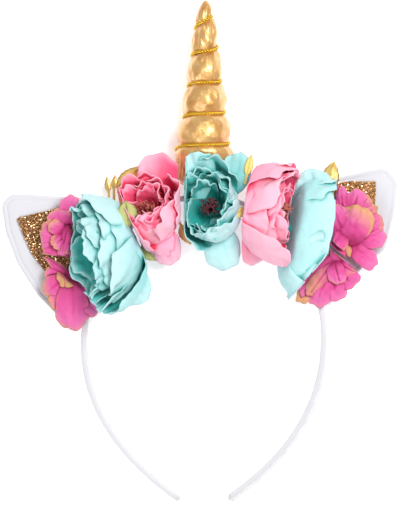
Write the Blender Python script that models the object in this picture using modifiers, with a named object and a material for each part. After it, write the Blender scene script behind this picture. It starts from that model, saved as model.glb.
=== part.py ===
"""Unicorn horn headband, lying on its back edge as it rests on a table.

Metres, +Z up from the table. +Y runs from the tips of the band to the tip of the horn, and +X is
to the right as the front is seen from above. The origin is on the table under the middle of the
band's crown.
"""

from math import asin, cos, exp, pi, radians, sin, sqrt, tan

import bmesh
import bpy
from mathutils import Vector

GAP = 0.0003  # between pieces that touch

# The satin-wrapped band: an arch that is half an ellipse above its widest line, with arms that
# curve in below it.
BAND_WIDTH = 0.0090  # from the back edge, on the table, to the front edge
BAND_THICKNESS = 0.0030
BAND_CORNER = 0.0007  # the chamfer at the edges of the wrapped strip
BAND_HALF_SPAN = 0.0664  # from the middle to the arm's centre line, at the widest
BAND_CROWN_RISE = 0.0809  # from the widest line up to the crown
BAND_DROP = 0.0869  # from the widest line down to the tips
BAND_TIP_HALF_GAP = 0.0132
BAND_ARM_HANDLE = 0.0440  # how far the arm keeps straight below the widest line
BAND_TIP_HANDLE = 0.0275
BAND_TIP_ANGLE = radians(35)  # the slope of the arm at its tip
BAND_TIP_ROUND = 0.0040  # the length over which the tip rounds off
BAND_SPANS = 39  # an odd number, so the middle one is flat
BAND_TIP_SECTIONS = (
    # share of the rounded length, share of the full width
    (0.0, 0.30),
    (0.12, 0.62),
    (0.45, 0.90),
    (1.0, 1.0),
)
RIGHT_ARM_TWIST = radians(20)  # the right arm turns its outer face up
LEFT_ARM_TWIST = radians(7)

# The stuffed horn and the cord wound into it. Turns are counted from the first pass across the
# front, and the cord lies nearly level across the front and climbs at the back.
HORN_BASE_Y = BAND_THICKNESS / 2 + GAP
HORN_TIP_Y = 0.1073
HORN_AXIS_HEIGHT = 0.0163
HORN_BASE_X = -0.0004
HORN_TIP_X = 0.0006
HORN_FOOT_RADIUS = 0.0155  # below the first turn of the cord
HORN_LOBE_RADIUS = 0.0146  # at the reference height of the cone
HORN_LOBE_Y = 0.0363
HORN_TAPER = 0.152  # loss of radius for each metre along the horn
HORN_FIRST_TURN_Y = 0.0275
HORN_PITCH = 0.0171
HORN_LEVELLING = 0.165  # how far the turns are levelled across the front, in turns
HORN_GROOVE = 0.0033
HORN_LAST_TURN = 4.16
HORN_FIRST_TURN = -0.36
HORN_TOP_TURN = 4.55
HORN_TIP_ROUND_Y = 0.0950
HORN_FOOT_DEPTH = 0.0095  # the sewn end is pressed flat against the band
HORN_FOOT_LIFT = 0.0008
HORN_FOOT_END_Y = 0.0300  # where the horn is round
HORN_COLUMNS = 15
HORN_ROWS_PER_TURN = 5
CORD_RADIUS = 0.0008
CORD_SEAT = 0.00135  # from the bottom of the groove to the cord's middle

# Ears: padded white felt, with a panel of glitter fabric on the front.
EAR_BOTTOM = 0.0012
EAR_THICKNESS = 0.0046
EAR_EDGE = 0.0015  # how far the rounded edge comes in
PANEL_THICKNESS = 0.0010
PANEL_EDGE = 0.0002
# Each outline is a polygon, in millimetres, whose corners are rounded by the radius given.
EAR_LEFT = (
    # x, y, rounding
    (-60.0, -1.0, 0),
    (-106.6, 1.4, 5),
    (-112.2, -4.0, 5),
    (-109.8, -20.0, 12),
    (-103.5, -37.0, 14),
    (-92.0, -55.0, 12),
    (-76.0, -71.5, 4),
)
EAR_RIGHT = (
    # x, y, rounding
    (62.0, 8.0, 0),
    (100.0, 16.2, 6),
    (107.0, 8.5, 7),
    (105.4, -8.0, 14),
    (100.0, -29.5, 6),
    (89.0, -38.0, 10),
    (78.0, -49.0, 4),
)
EARS = (
    # name, outline, side of the band, and the lower and upper end of the inner edge on the band
    ("ear_left", EAR_LEFT, -1, -0.0660, -0.0230),
    ("ear_right", EAR_RIGHT, 1, -0.0480, -0.0200),
)
PANEL_LEFT = (
    # x, y, rounding
    (-71.0, -9.0, 0),
    (-81.5, -6.8, 1),
    (-103.6, -12.0, 1.5),
    (-100.0, -21.5, 8),
    (-95.5, -31.5, 8),
    (-85.0, -45.5, 1),
    (-71.0, -47.0, 0),
)
PANEL_RIGHT = (
    # x, y, rounding
    (70.0, 7.0, 0),
    (81.0, 8.2, 0),
    (94.6, 8.2, 1),
    (94.0, -8.0, 1),
    (86.0, -16.0, 0),
    (72.0, -16.0, 0),
)
PANELS = (("glitter_panel_left", PANEL_LEFT), ("glitter_panel_right", PANEL_RIGHT))

# The flowers are cloth petals on a hidden core. Everything is soft: petals are pressed flat
# against the band below them, against the horn and against the flower beside them.
PETAL_THICKNESS = 0.0010
PETAL_ACROSS = 3  # faces across and along a petal
PETAL_ALONG = 3
INNER_PETAL_ACROSS = 2
BLOOM_PETAL_ALONG = 2
OUTER_RING_PETALS = 4
SEAT = BAND_WIDTH + GAP + PETAL_THICKNESS / 2  # how low a petal's middle surface can lie
SOFTNESS = 0.0025  # the depth over which a pressed petal gives
CLEARANCE = PETAL_THICKNESS / 2 + GAP  # from a petal's middle surface to the face it is pressed to
LAYERS = 7  # petals pressed to the same face lie in so many layers
LAYER_STEP = 0.00035
CORE_LAYER = -0.00047  # the core reaches down to the band
CORE_SOFTNESS = 0.0008
CORE_DEPTH = 1.9  # how much further a core that lies on its side reaches down
CORE_RINGS = 4
CORE_SIDES = 8

# Planes between neighbouring flowers: a point on the plane, in millimetres, and its direction,
# which points from the first flower to the second.
BETWEEN = (
    # first, second, x, y, z, direction x, y, z
    ("flower_teal_left", "flower_pink_left", -38.0, -20.0, 25, 0.905, 0.427, 0.0),
    ("flower_pink_left", "flower_teal_middle", -12.0, 0.0, 25, 1.0, 0.0, 0.0),
    ("flower_teal_middle", "flower_pink_right", 20.6, -8.0, 32, 0.94, -0.16, 0.25),
    ("flower_pink_right", "flower_teal_right", 52.8, -4.0, 36, 0.93, -0.21, -0.30),
    ("flower_teal_left", "bloom_left_upper", -76.7, -20.0, 32, -0.93, 0.10, -0.36),
    ("flower_teal_left", "bloom_left_lower", -66.0, -54.5, 28, -0.55, -0.75, -0.36),
    ("bloom_left_upper", "bloom_left_lower", -75.0, -34.0, 20, -0.10, -1.0, 0.0),
    ("flower_teal_right", "bloom_right_upper", 70.0, -10.0, 25, 0.976, -0.18, -0.10),
    ("flower_teal_right", "bloom_right_lower", 62.5, -35.5, 25, 0.777, -0.63, -0.10),
    ("bloom_right_upper", "bloom_right_lower", 76.0, -34.0, 20, -0.64, -0.77, 0.0),
)

FLOWERS = (
    # name, base x, y, z, axis x, y, z, stretch sideways and frontwards, core radius and length
    ("flower_teal_left", -35.5, -22.5, 22.5, -0.90, -0.30, 0.34, 1.22, 0.66, 15, 14),
    ("flower_pink_left", -27.5, -15.5, 10.5, -0.24, 0.34, 0.91, 1.02, 1.08, 10, 9),
    ("flower_teal_middle", 6.0, -7.5, 10.5, -0.18, 0.06, 0.97, 0.94, 1.10, 10, 9),
    ("flower_pink_right", 18.0, -8.0, 22.5, 0.96, 0.02, 0.28, 1.10, 0.68, 15, 15),
    ("flower_teal_right", 40.0, -17.5, 20.0, 0.96, -0.20, 0.20, 1.28, 0.64, 15, 15),
)
RINGS = (
    # flower, petals, first angle, base radius, base height, length, width, angle from the axis at
    # the base and at the rim, how fast it turns, how far one side tucks under, ruffle, and how
    # much shorter the petals at the front are
    ("flower_teal_left", 4, 80, 6, 0, 46, 46, 92, -6, 0.75, 1.6, 0.8, 0.22),
    ("flower_teal_left", 3, 60, 5, 6, 34, 34, 60, 0, 0.8, 1.0, 0.6, 0.26),
    ("flower_pink_left", 4, 20, 5, 0, 33, 33, 84, -14, 0.8, 1.6, 0.6, 0.0),
    ("flower_pink_left", 3, 50, 4, 4, 25, 24, 54, -6, 0.9, 1.0, 0.4, 0.0),
    ("flower_teal_middle", 4, 5, 5, 0, 31, 31, 82, -10, 0.8, 1.6, 0.5, 0.0),
    ("flower_teal_middle", 3, 40, 4, 4, 25, 24, 54, -4, 0.9, 1.0, 0.4, 0.0),
    ("flower_pink_right", 4, 80, 6, 0, 46, 46, 90, -16, 0.75, 1.6, 0.7, 0.14),
    ("flower_pink_right", 3, 45, 5, 8, 33, 32, 56, -6, 0.85, 1.0, 0.6, 0.10),
    ("flower_teal_right", 4, 86, 6, 0, 46, 46, 92, -10, 0.75, 1.6, 0.7, 0.10),
    ("flower_teal_right", 3, 50, 5, 8, 34, 32, 58, 0, 0.85, 1.0, 0.8, 0.08),
)
# Single petals, from the root to the tip: millimetres. A petal's bulge is how far its middle
# stands up from the straight line, and its cup how far its sides drop below its middle.
PETALS = (
    # flower, root x, y, z, tip x, y, z, width, bulge, cup, ruffle
    ("flower_teal_left", -42, -30, 20, -50, -59.5, 14, 36, 6, 4, 1.0),
    ("flower_pink_left", -27, -6, 14, -25, 23.2, 20, 22, 3, 2.5, 0.4),
    ("flower_pink_left", -24, -14, 22, -18.0, -37.4, 14, 16, 5, 3, 0.8),
    ("flower_teal_middle", 6, -12, 20, 12.5, -40.2, 13, 20, 4, 2.5, 0.3),
    ("flower_teal_middle", -2, -2, 20, -4.5, 23.6, 31, 17, 1, 1.5, 0.8),
    ("flower_teal_middle", 11, -2, 20, 21.5, 22.6, 25, 17, 2, 2.0, 0.6),
    ("flower_pink_right", 28, -14, 30, 23, -37.0, 15, 18, 5, 3, 0.4),
    ("bloom_left_upper", -74, -18, 12.6, -71.2, 0.0, 15, 14, 3, 2, 0.4),
    ("bloom_left_upper", -76, -20, 12.6, -84.5, -8.5, 15, 16, 3, 2, 0.4),
    ("bloom_left_upper", -76, -22, 12.6, -90, -24, 14, 17, 4, 2, 0.5),
    ("bloom_left_upper", -75, -22, 13.5, -80, -35, 18, 15, 2, 2, 0.5),
    ("bloom_left_lower", -73, -48, 12.6, -60.8, -66, 14, 17, 4, 3, 0.3),
    ("bloom_left_lower", -75, -48, 13.5, -72.3, -73.8, 14, 18, 5, 3, 0.3),
    ("bloom_left_lower", -76, -47, 12.6, -86.5, -57, 14, 18, 4, 2, 0.4),
    ("bloom_left_lower", -75, -46, 13.5, -84, -38, 16, 17, 2, 2, 0.4),
    ("bloom_right_upper", 81, -14, 12.6, 72, 6.5, 16, 12, 3, 2, 0.4),
    ("bloom_right_upper", 82, -14, 12.6, 88, 3.0, 15, 17, 3, 2, 0.5),
    ("bloom_right_upper", 84, -17, 12.6, 99.5, -17, 14, 18, 4, 2, 0.4),
    ("bloom_right_upper", 83, -20, 13.0, 93.2, -39, 13, 15, 4, 2, 0.4),
    ("bloom_right_upper", 79, -16, 14.0, 77.5, -35, 18, 15, 3, 3, 0.3),
    ("bloom_right_lower", 70, -43, 12.6, 82, -40.5, 15, 13, 3, 2, 0.4),
    ("bloom_right_lower", 70, -44, 13.0, 81.5, -51, 14, 17, 4, 2, 0.5),
    ("bloom_right_lower", 69, -46, 12.6, 68.5, -61, 13, 18, 4, 2, 0.4),
    ("bloom_right_lower", 67, -45, 12.6, 52, -56, 15, 17, 4, 2, 0.4),
)
BLOOM_CORES = (
    # name, x, y, z, radius, height, bottom: on a glitter panel, or on the ear below it
    ("bloom_left_upper", -75, -20.5, 11.0, 6.5, 6.5, 7.4),
    ("bloom_left_lower", -75, -48, 11.0, 6.5, 6.5, 7.4),
    ("bloom_right_upper", 82, -15.5, 11.0, 6.5, 6.5, 7.4),
    ("bloom_right_lower", 69, -44.5, 11.0, 6.5, 6.5, 6.1),
)
STAMENS = (
    # name, flower it stands in, how far up the flower's axis, radius, length, stalk radius
    ("stamens_pink_left", "flower_pink_left", 9.3, 6.0, 15, 1.5),
    ("stamens_teal_middle", "flower_teal_middle", 9.3, 5.5, 14, 1.5),
    ("stamens_pink_right", "flower_pink_right", 15.5, 4.6, 16, 1.2),
)
STALK_SHARE = 0.3  # of the stamens' length
KNOB_ANGLES = (0.9, 1.6, 2.4)  # from the stalk round to the top, in radians
KNOB_SIDES = 10
LEAF_THICKNESS = 0.0010
LEAF_STEM = 0.0014
LEAF_ACROSS = 2
LEAF_ALONG = 5
LEAVES = (
    # name, root x, y, z, knee x, y, z, tip x, y, z, width, fold: the stem is from root to knee
    ("leaf_gold_left_inner", -43.4, -16.8, 7.4, -48.0, 5.0, 7.4, -34.6, 16.4, 7.4, 8.0, 0.6),
    ("leaf_gold_left_middle", -49.3, -22.0, 7.4, -50.0, 3.5, 7.4, -49.4, 11.5, 7.4, 3.0, 0.3),
    ("leaf_gold_left_outer", -52.8, -26.7, 7.4, -52.8, 2.0, 7.4, -54.0, 10.5, 7.4, 3.0, 0.3),
    ("leaf_gold_right", 63.0, -19.0, 8.3, 67.5, 3.0, 8.3, 71.5, 19.0, 8.3, 10.0, 0.6),
)


def clear_scene():
    for obj in list(bpy.data.objects):
        bpy.data.objects.remove(obj)
    for collection in list(bpy.data.collections):
        bpy.data.collections.remove(collection)


def new_collection(name):
    collection = bpy.data.collections.new(name)
    bpy.context.scene.collection.children.link(collection)
    return collection


def material(name, color, roughness, metallic=0.0):
    made = bpy.data.materials.new(name)
    made.use_nodes = True
    shader = made.node_tree.nodes["Principled BSDF"]
    shader.inputs["Base Color"].default_value = (*color, 1.0)
    shader.inputs["Roughness"].default_value = roughness
    shader.inputs["Metallic"].default_value = metallic
    return made


def add_object(name, data, collection, surface=None):
    obj = bpy.data.objects.new(name, data)
    collection.objects.link(obj)
    if surface:
        obj.data.materials.append(surface)
    return obj


def hide_helper(obj):
    obj.hide_render = True
    obj.display_type = "WIRE"


def mesh_from(name, points, faces):
    mesh = bpy.data.meshes.new(name)
    mesh.from_pydata([tuple(p) for p in points], [], faces)
    made = bmesh.new()
    made.from_mesh(mesh)
    bmesh.ops.recalc_face_normals(made, faces=made.faces)
    made.to_mesh(mesh)
    made.free()
    return mesh


def smoothstep(low, high, value):
    t = min(1.0, max(0.0, (value - low) / (high - low)))
    return t * t * (3 - 2 * t)


# The band


def arch_curve():
    """The band's centre line from the right tip to the crown, as many short steps."""
    steps = 200
    tip = Vector((BAND_TIP_HALF_GAP, -BAND_CROWN_RISE - BAND_DROP))
    wide = Vector((BAND_HALF_SPAN, -BAND_CROWN_RISE))
    pull = Vector((cos(BAND_TIP_ANGLE), sin(BAND_TIP_ANGLE))) * BAND_TIP_HANDLE
    controls = (tip, tip + pull, wide - Vector((0, BAND_ARM_HANDLE)), wide)
    points = []
    for i in range(steps):
        t = i / steps
        weights = ((1 - t) ** 3, 3 * t * (1 - t) ** 2, 3 * t * t * (1 - t), t**3)
        points.append(sum((w * c for w, c in zip(weights, controls)), Vector((0, 0))))
    for i in range(steps + 1):
        a = pi / 2 * i / steps
        points.append(Vector((BAND_HALF_SPAN * cos(a), BAND_CROWN_RISE * (sin(a) - 1))))
    return points


def arch_points(spans):
    """Even points along the whole centre line from the left tip, with the run to each of them."""
    right = arch_curve()
    whole = [Vector((-p.x, p.y)) for p in right] + list(reversed(right[:-1]))
    reach = [0.0]
    for a, b in zip(whole, whole[1:]):
        reach.append(reach[-1] + (b - a).length)
    found = []
    at = 0
    for i in range(spans + 1):
        wanted = reach[-1] * i / spans
        while at < len(whole) - 2 and reach[at + 1] < wanted:
            at += 1
        share = (wanted - reach[at]) / (reach[at + 1] - reach[at])
        found.append((whole[at].lerp(whole[at + 1], share), wanted, reach[-1]))
    return found


def band_twist(x, y):
    """How far the strip is turned about its own length: the arms turn, the crown doesn't."""
    if x > 0:
        return RIGHT_ARM_TWIST * smoothstep(0.055, 0.105, -y)
    return -LEFT_ARM_TWIST * smoothstep(0.055, 0.100, -y) * (1 - smoothstep(0.10, 0.15, -y))


def band_profile():
    """The strip's cross-section, as pairs: outwards, and up from the middle."""
    t, w, c = BAND_THICKNESS / 2, BAND_WIDTH / 2, BAND_CORNER
    upper = ((t, w - c), (t - c, w), (c - t, w), (-t, w - c))
    return upper + tuple((n, -w) for n, w in reversed(upper))


def build_band(collection, surface):
    centres = arch_points(BAND_SPANS)
    sections = []
    for i, (centre, _, _) in enumerate(centres):
        before = centres[max(0, i - 1)][0]
        after = centres[min(len(centres) - 1, i + 1)][0]
        along = (after - before).normalized()
        sections.append((centre, Vector((-along.y, along.x)), along, 1.0))
    # A few shorter sections round off the tips.
    first, last = sections[0], sections[-1]
    ends = [(BAND_TIP_ROUND * share, size) for share, size in BAND_TIP_SECTIONS]
    heads = [(first[0] + first[2] * d, first[1], first[2], size) for d, size in ends]
    tails = [(last[0] - last[2] * d, last[1], last[2], size) for d, size in reversed(ends)]
    points = []
    profile = band_profile()
    sections = [*heads, *sections[1:-1], *tails]
    for centre, outward, _, size in sections:
        twist = band_twist(centre.x, centre.y)
        turned = [(n * cos(twist) - w * sin(twist), n * sin(twist) + w * cos(twist)) for n, w in profile]
        lift = -min(w for _, w in turned)
        for n, w in turned:
            flat = centre + outward * n * min(1.0, size * 1.2)
            points.append((flat.x, flat.y, lift + w * size))
    sides = len(profile)
    faces = []
    for i in range(len(sections) - 1):
        for k in range(sides):
            a, b = i * sides + k, i * sides + (k + 1) % sides
            faces.append((a, b, b + sides, a + sides))
    faces.append(tuple(range(sides)))
    faces.append(tuple(range(len(points) - sides, len(points))))
    mesh = mesh_from("headband", points, faces)
    mesh.shade_smooth()
    mesh.set_sharp_from_angle(angle=radians(40))
    return add_object("headband", mesh, collection, surface)


# The horn


def horn_height(turn, angle):
    """The height along the horn of a point that many turns up, at an angle from the front."""
    level = HORN_LEVELLING * (1 - smoothstep(2.4, 4.2, turn))
    return HORN_FIRST_TURN_Y + HORN_PITCH * (turn - level * sin(angle))


def horn_radius(y, turn, phase):
    """The radius at a height, a turn count, and a phase that is a whole number in the groove."""
    cone = HORN_LOBE_RADIUS - HORN_TAPER * (y - HORN_LOBE_Y)
    radius = HORN_FOOT_RADIUS + (cone - HORN_FOOT_RADIUS) * smoothstep(-0.75, -0.05, turn)
    start = smoothstep(HORN_FIRST_TURN - 0.1, HORN_FIRST_TURN + 0.3, turn)
    end = 1 - smoothstep(HORN_LAST_TURN, HORN_LAST_TURN + 0.5, turn)
    narrow = min(1.0, radius / HORN_LOBE_RADIUS + 0.15)
    radius -= HORN_GROOVE * narrow * start * end * abs(2 * (phase % 1.0) - 1) ** 2.5
    if y > HORN_TIP_ROUND_Y:
        share = min(1.0, (y - HORN_TIP_ROUND_Y) / (HORN_TIP_Y - HORN_TIP_ROUND_Y))
        radius *= sqrt(1 - share**2.2)
    return radius


def horn_section(y):
    """The horn's axis height and how deep it is, as a share of its width, at a distance along it."""
    full = smoothstep(HORN_BASE_Y - 0.006, HORN_FOOT_END_Y, y)
    foot = HORN_FOOT_DEPTH / 2 / HORN_FOOT_RADIUS
    middle = HORN_AXIS_HEIGHT * full + (HORN_FOOT_DEPTH / 2 + HORN_FOOT_LIFT) * (1 - full)
    return middle, foot + (1 - foot) * full


def horn_point(radius, y, angle):
    share = (y - HORN_BASE_Y) / (HORN_TIP_Y - HORN_BASE_Y)
    x = HORN_BASE_X + (HORN_TIP_X - HORN_BASE_X) * share
    middle, depth = horn_section(y)
    return Vector((x + radius * sin(angle), y, middle + radius * depth * cos(angle)))


def build_horn(collection, surface):
    """The horn's grid follows the turns, so a seam joins its last column one turn higher."""
    first = -2 * HORN_ROWS_PER_TURN
    rows = round(HORN_TOP_TURN * HORN_ROWS_PER_TURN) - first
    points = []
    for i in range(HORN_COLUMNS):
        angle = 2 * pi * i / HORN_COLUMNS
        for j in range(rows):
            phase = (first + j) / HORN_ROWS_PER_TURN
            turn = phase + i / HORN_COLUMNS
            y = min(horn_height(turn, angle), HORN_TIP_Y - 0.0004 * (HORN_TOP_TURN + 1 - turn))
            points.append(horn_point(horn_radius(y, turn, phase), y, angle))
    faces = []
    for i in range(HORN_COLUMNS):
        shift = HORN_ROWS_PER_TURN if i == HORN_COLUMNS - 1 else 0
        here, there = i * rows, (i + 1) % HORN_COLUMNS * rows + shift
        for j in range(rows - 1 - shift):
            faces.append((here + j, there + j, there + j + 1, here + j + 1))
    tip = len(points)
    points.append(Vector((HORN_TIP_X, HORN_TIP_Y, HORN_AXIS_HEIGHT)))
    last = (HORN_COLUMNS - 1) * rows
    rim = [i * rows + rows - 1 for i in range(HORN_COLUMNS - 1)]
    rim += [last + j for j in range(rows - 1, rows - 2 - HORN_ROWS_PER_TURN, -1)]
    for a, b in zip(rim, rim[1:] + rim[:1]):
        faces.append((a, b, tip))
    mesh = mesh_from("unicorn_horn", points, faces)
    made = bmesh.new()
    made.from_mesh(mesh)
    bmesh.ops.bisect_plane(
        made,
        geom=made.verts[:] + made.edges[:] + made.faces[:],
        dist=1e-6,
        plane_co=(0, HORN_BASE_Y, 0),
        plane_no=(0, 1, 0),
        clear_inner=True,
    )
    bmesh.ops.delete(made, geom=[v for v in made.verts if not v.link_faces], context="VERTS")
    bmesh.ops.dissolve_degenerate(made, dist=2e-5, edges=made.edges[:])
    bmesh.ops.holes_fill(made, edges=[e for e in made.edges if e.is_boundary], sides=0)
    bmesh.ops.recalc_face_normals(made, faces=made.faces)
    made.to_mesh(mesh)
    made.free()
    mesh.shade_smooth()
    return add_object("unicorn_horn", mesh, collection, surface)


def build_horn_cord(collection, surface):
    """The cord lies in the groove: its middle is a little further out than the groove's bottom."""
    curve = bpy.data.curves.new("horn_cord", "CURVE")
    curve.dimensions = "3D"
    curve.bevel_depth = CORD_RADIUS
    curve.bevel_resolution = 1
    curve.use_fill_caps = True
    first = round(HORN_FIRST_TURN * HORN_COLUMNS)
    last = round(HORN_LAST_TURN * HORN_COLUMNS)
    line = curve.splines.new("POLY")
    line.points.add(last - first)
    for at, step in zip(line.points, range(first, last + 1)):
        turn = step / HORN_COLUMNS
        angle = 2 * pi * turn
        y = horn_height(turn, angle)
        at.co = (*horn_point(horn_radius(y, turn, 0.0) + CORD_SEAT, y, angle), 1.0)
    return add_object("horn_cord", curve, collection, surface)


# The ears


def rounded_outline(rows, steps=2):
    """A closed outline through the corners given, each rounded by an arc of its own radius."""
    corners = [(Vector((x, y)) / 1000, r / 1000) for x, y, r in rows]
    outline = []
    for i, (corner, radius) in enumerate(corners):
        if radius == 0:
            outline.append(corner)
            continue
        back = (corners[i - 1][0] - corner).normalized()
        on = (corners[(i + 1) % len(corners)][0] - corner).normalized()
        half = back.angle(on) / 2
        run = radius / tan(half)
        start, end = corner + back * run, corner + on * run
        for k in range(steps + 1):
            t = k / steps
            outline.append((1 - t) ** 2 * start + 2 * t * (1 - t) * corner + t * t * end)
    return outline


def beside_band(away, side, first_y, last_y, steps=4):
    """Points beside the band's outer face on one side, from one height to another."""
    points = []
    for i in range(steps + 1):
        y = first_y + (last_y - first_y) * i / steps
        a = asin(min(1.0, 1 + y / BAND_CROWN_RISE))
        flat = Vector((BAND_HALF_SPAN * cos(a), BAND_CROWN_RISE * (sin(a) - 1)))
        normal = Vector((cos(a) / BAND_HALF_SPAN, sin(a) / BAND_CROWN_RISE)).normalized()
        point = flat + normal * away
        points.append(Vector((point.x * side, point.y)))
    return points


def build_slab(name, outline, bottom, thickness, edge, collection, surface):
    curve = bpy.data.curves.new(name, "CURVE")
    curve.dimensions = "2D"
    curve.fill_mode = "BOTH"
    curve.extrude = thickness / 2 - edge
    curve.bevel_depth = edge
    curve.bevel_resolution = 0
    curve.offset = -edge
    line = curve.splines.new("POLY")
    line.points.add(len(outline) - 1)
    for at, point in zip(line.points, outline):
        at.co = (point.x, point.y, 0, 1)
    line.use_cyclic_u = True
    obj = add_object(name, curve, collection, surface)
    obj.location.z = bottom + thickness / 2
    return obj


# The petals


def pressed(point, planes, layer, softness=SOFTNESS, bottom=None):
    """Move a point off the neighbours' planes and up from what lies below, gently.

    Each petal of a flower is pressed to a layer of its own, so that no two lie in one plane.
    """
    for start, direction in planes:
        depth = (point - start).dot(direction) - CLEARANCE - layer
        if depth < softness:
            point = point + direction * (softness * exp(depth / softness - 1) - depth)
    low = petal_floor(point.x, point.y) + layer if bottom is None else bottom
    depth = point.z - low
    if depth < softness:
        point = Vector((point.x, point.y, low + softness * exp(depth / softness - 1)))
    return point


def petal_floor(x, y):
    """The lowest a petal's middle surface can be: over the band, and over the horn's sewn end."""
    low = SEAT
    if y > -0.004:
        middle, depth = horn_section(y)
        share = abs(x - HORN_BASE_X) / (HORN_FOOT_RADIUS + 0.0006)
        rise = sqrt(1 - share**2) if share < 0.8 else 0.6 - 1.333 * (share - 0.8)
        over = middle + (HORN_FOOT_RADIUS + 0.0004) * depth * rise + CLEARANCE + 0.0004
        low = max(low, SEAT + (over - SEAT) * smoothstep(-0.004, 0.0015, y))
    return low


def neighbour_planes(name):
    planes = []
    for first, second, x, y, z, nx, ny, nz in BETWEEN:
        start, direction = Vector((x, y, z)) / 1000, Vector((nx, ny, nz)).normalized()
        if name == first:
            planes.append((start, -direction))
        elif name == second:
            planes.append((start, direction))
    return planes


def flower_frame(row):
    """The flower's own directions: along its axis, sideways and to the front."""
    axis = Vector(row[4:7]).normalized()
    facing = Vector((0, 1, 0)) if axis.z > 0.6 else Vector((0, 0, 1))
    front = (facing - axis * facing.dot(axis)).normalized()
    return Vector(row[1:4]) / 1000, axis, front.cross(axis) * row[7], front * row[8]


def ring_petal(frame, ring, number, across, along):
    """One petal of a ring: a patch of a bowl that opens along the flower's axis."""
    base, axis, side, front = frame
    _, count, first, root, height, length, width, rise, rim, ease, tuck, ruffle, short = ring
    turn = radians(first + 360 * number / count)
    vary = sin(number * 2.4 + first)
    length = length * (1 + 0.05 * vary - short * max(0.0, sin(turn))) / 1000
    grid = []
    for i in range(across + 1):
        u = 2 * i / across - 1
        reach = 1 - 0.22 * abs(u) ** 2.5
        column = []
        radius, up = root / 1000, height / 1000
        steps = along * 3
        for k in range(steps + 1):
            s = reach * k / steps
            if k % 3 == 0:
                swell = 0.45 + 0.55 * sin(pi / 2 * min(1.0, s * 1.7))
                spread = min(1.25, width / 2000 * swell / max(radius, 0.004))
                angle = turn + u * spread
                out = tuck / 1000 * u * min(1.0, s * 2) + ruffle / 1000 * sin(5 * u + 7 * s + number) * s * s
                r = radius + out
                column.append(base + axis * up + side * r * cos(angle) + front * r * sin(angle))
            lean = radians(rise + (rim + 6 * vary - rise) * (s + reach / steps / 2) ** ease)
            radius += sin(lean) * length * reach / steps
            up += cos(lean) * length * reach / steps
        grid.append(column)
    return grid


def single_petal(row, across, along):
    """One petal from its root to its tip, arched outwards and cupped along its length."""
    _, x0, y0, z0, x1, y1, z1, width, bulge, cup, ruffle = row
    root, tip = Vector((x0, y0, z0)) / 1000, Vector((x1, y1, z1)) / 1000
    way = tip - root
    side = way.cross(Vector((0, 0, 1))).normalized()
    out = side.cross(way).normalized()
    grid = []
    for i in range(across + 1):
        u = 2 * i / across - 1
        reach = 1 - 0.24 * abs(u) ** 2.5
        column = []
        for k in range(along + 1):
            t = reach * k / along
            half = width / 2000 * (0.24 + 0.76 * sin(pi / 2 * min(1.0, t * 1.7)))
            rise = 4 * bulge / 1000 * t * (1 - t) - cup / 1000 * u * u * min(1.0, t * 1.5)
            rise += ruffle / 1000 * sin(4 * u + 6 * t + x1) * t * t
            column.append(root + way * t + side * u * half + out * rise)
        grid.append(column)
    return grid


def leaf_grid(row, across, along):
    """A pointed leaf on a stem that bends at the knee, folded a little along its vein."""
    root, knee, tip = (Vector(row[i:i + 3]) / 1000 for i in (1, 4, 7))
    width, fold = row[10] / 1000, row[11] / 1000
    stem, blade = (knee - root).normalized(), (tip - knee).normalized()
    grid = []
    for i in range(across + 1):
        u = 2 * i / across - 1
        column = []
        for k in range(along + 1):
            share = max(0.0, (k - 1) / (along - 1))
            way = (stem, stem + blade, blade)[min(k, 2)]
            side = way.cross(Vector((0, 0, 1))).normalized()
            out = side.cross(way).normalized()
            middle = knee.lerp(tip, share) if k else root
            half = max(LEAF_STEM / 2, width / 2 * sin(pi * share**0.85))
            column.append(middle + side * u * half - out * fold * abs(u) * min(1.0, 3 * share))
        grid.append(column)
    return grid


def grid_mesh(name, points, across, along):
    faces = []
    for i in range(across):
        for k in range(along):
            a = i * (along + 1) + k
            faces.append((a, a + 1, a + along + 2, a + along + 1))
    return mesh_from(name, points, faces)


def add_petal(name, grid, planes, layer, collection):
    across, along = len(grid) - 1, len(grid[0]) - 1
    points = [pressed(p, planes, layer) for column in grid for p in column]
    obj = add_object(name, grid_mesh(name, points, across, along), collection)
    skin = obj.modifiers.new("thickness", "SOLIDIFY")
    skin.thickness = PETAL_THICKNESS
    skin.offset = 0
    obj.modifiers.new("flat faces", "TRIANGULATE")
    return obj


def core_mesh(name, core, planes):
    """The hidden middle of a flower: a rounded knob that reaches down to what carries it."""
    centre, axis, side, front, radius, length, bottom = core
    rings, around = CORE_RINGS, CORE_SIDES
    tail = length * 0.35 if bottom is None else centre.z - bottom + CORE_SOFTNESS
    points = [centre - axis * tail]
    for i in range(1, rings):
        a = pi * i / rings
        for k in range(around):
            b = 2 * pi * k / around
            deep = CORE_DEPTH if sin(b) < -0.1 and abs(axis.z) < 0.6 else 1.0
            across = (side * cos(b) + front * sin(b) * deep) * radius * sin(a)
            points.append(centre - axis * cos(a) * (tail if cos(a) > 0 else length) + across)
    points.append(centre + axis * length)
    points = [pressed(p, planes, CORE_LAYER, CORE_SOFTNESS, bottom) for p in points]
    faces = []
    for k in range(around):
        on = (k + 1) % around
        faces.append((0, 1 + k, 1 + on))
        for i in range(rings - 2):
            a, b = 1 + i * around + k, 1 + i * around + on
            faces.append((a, b, b + around, a + around))
        last = 1 + (rings - 2) * around
        faces.append((len(points) - 1, last + k, last + on))
    return mesh_from(name, points, faces)


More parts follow.
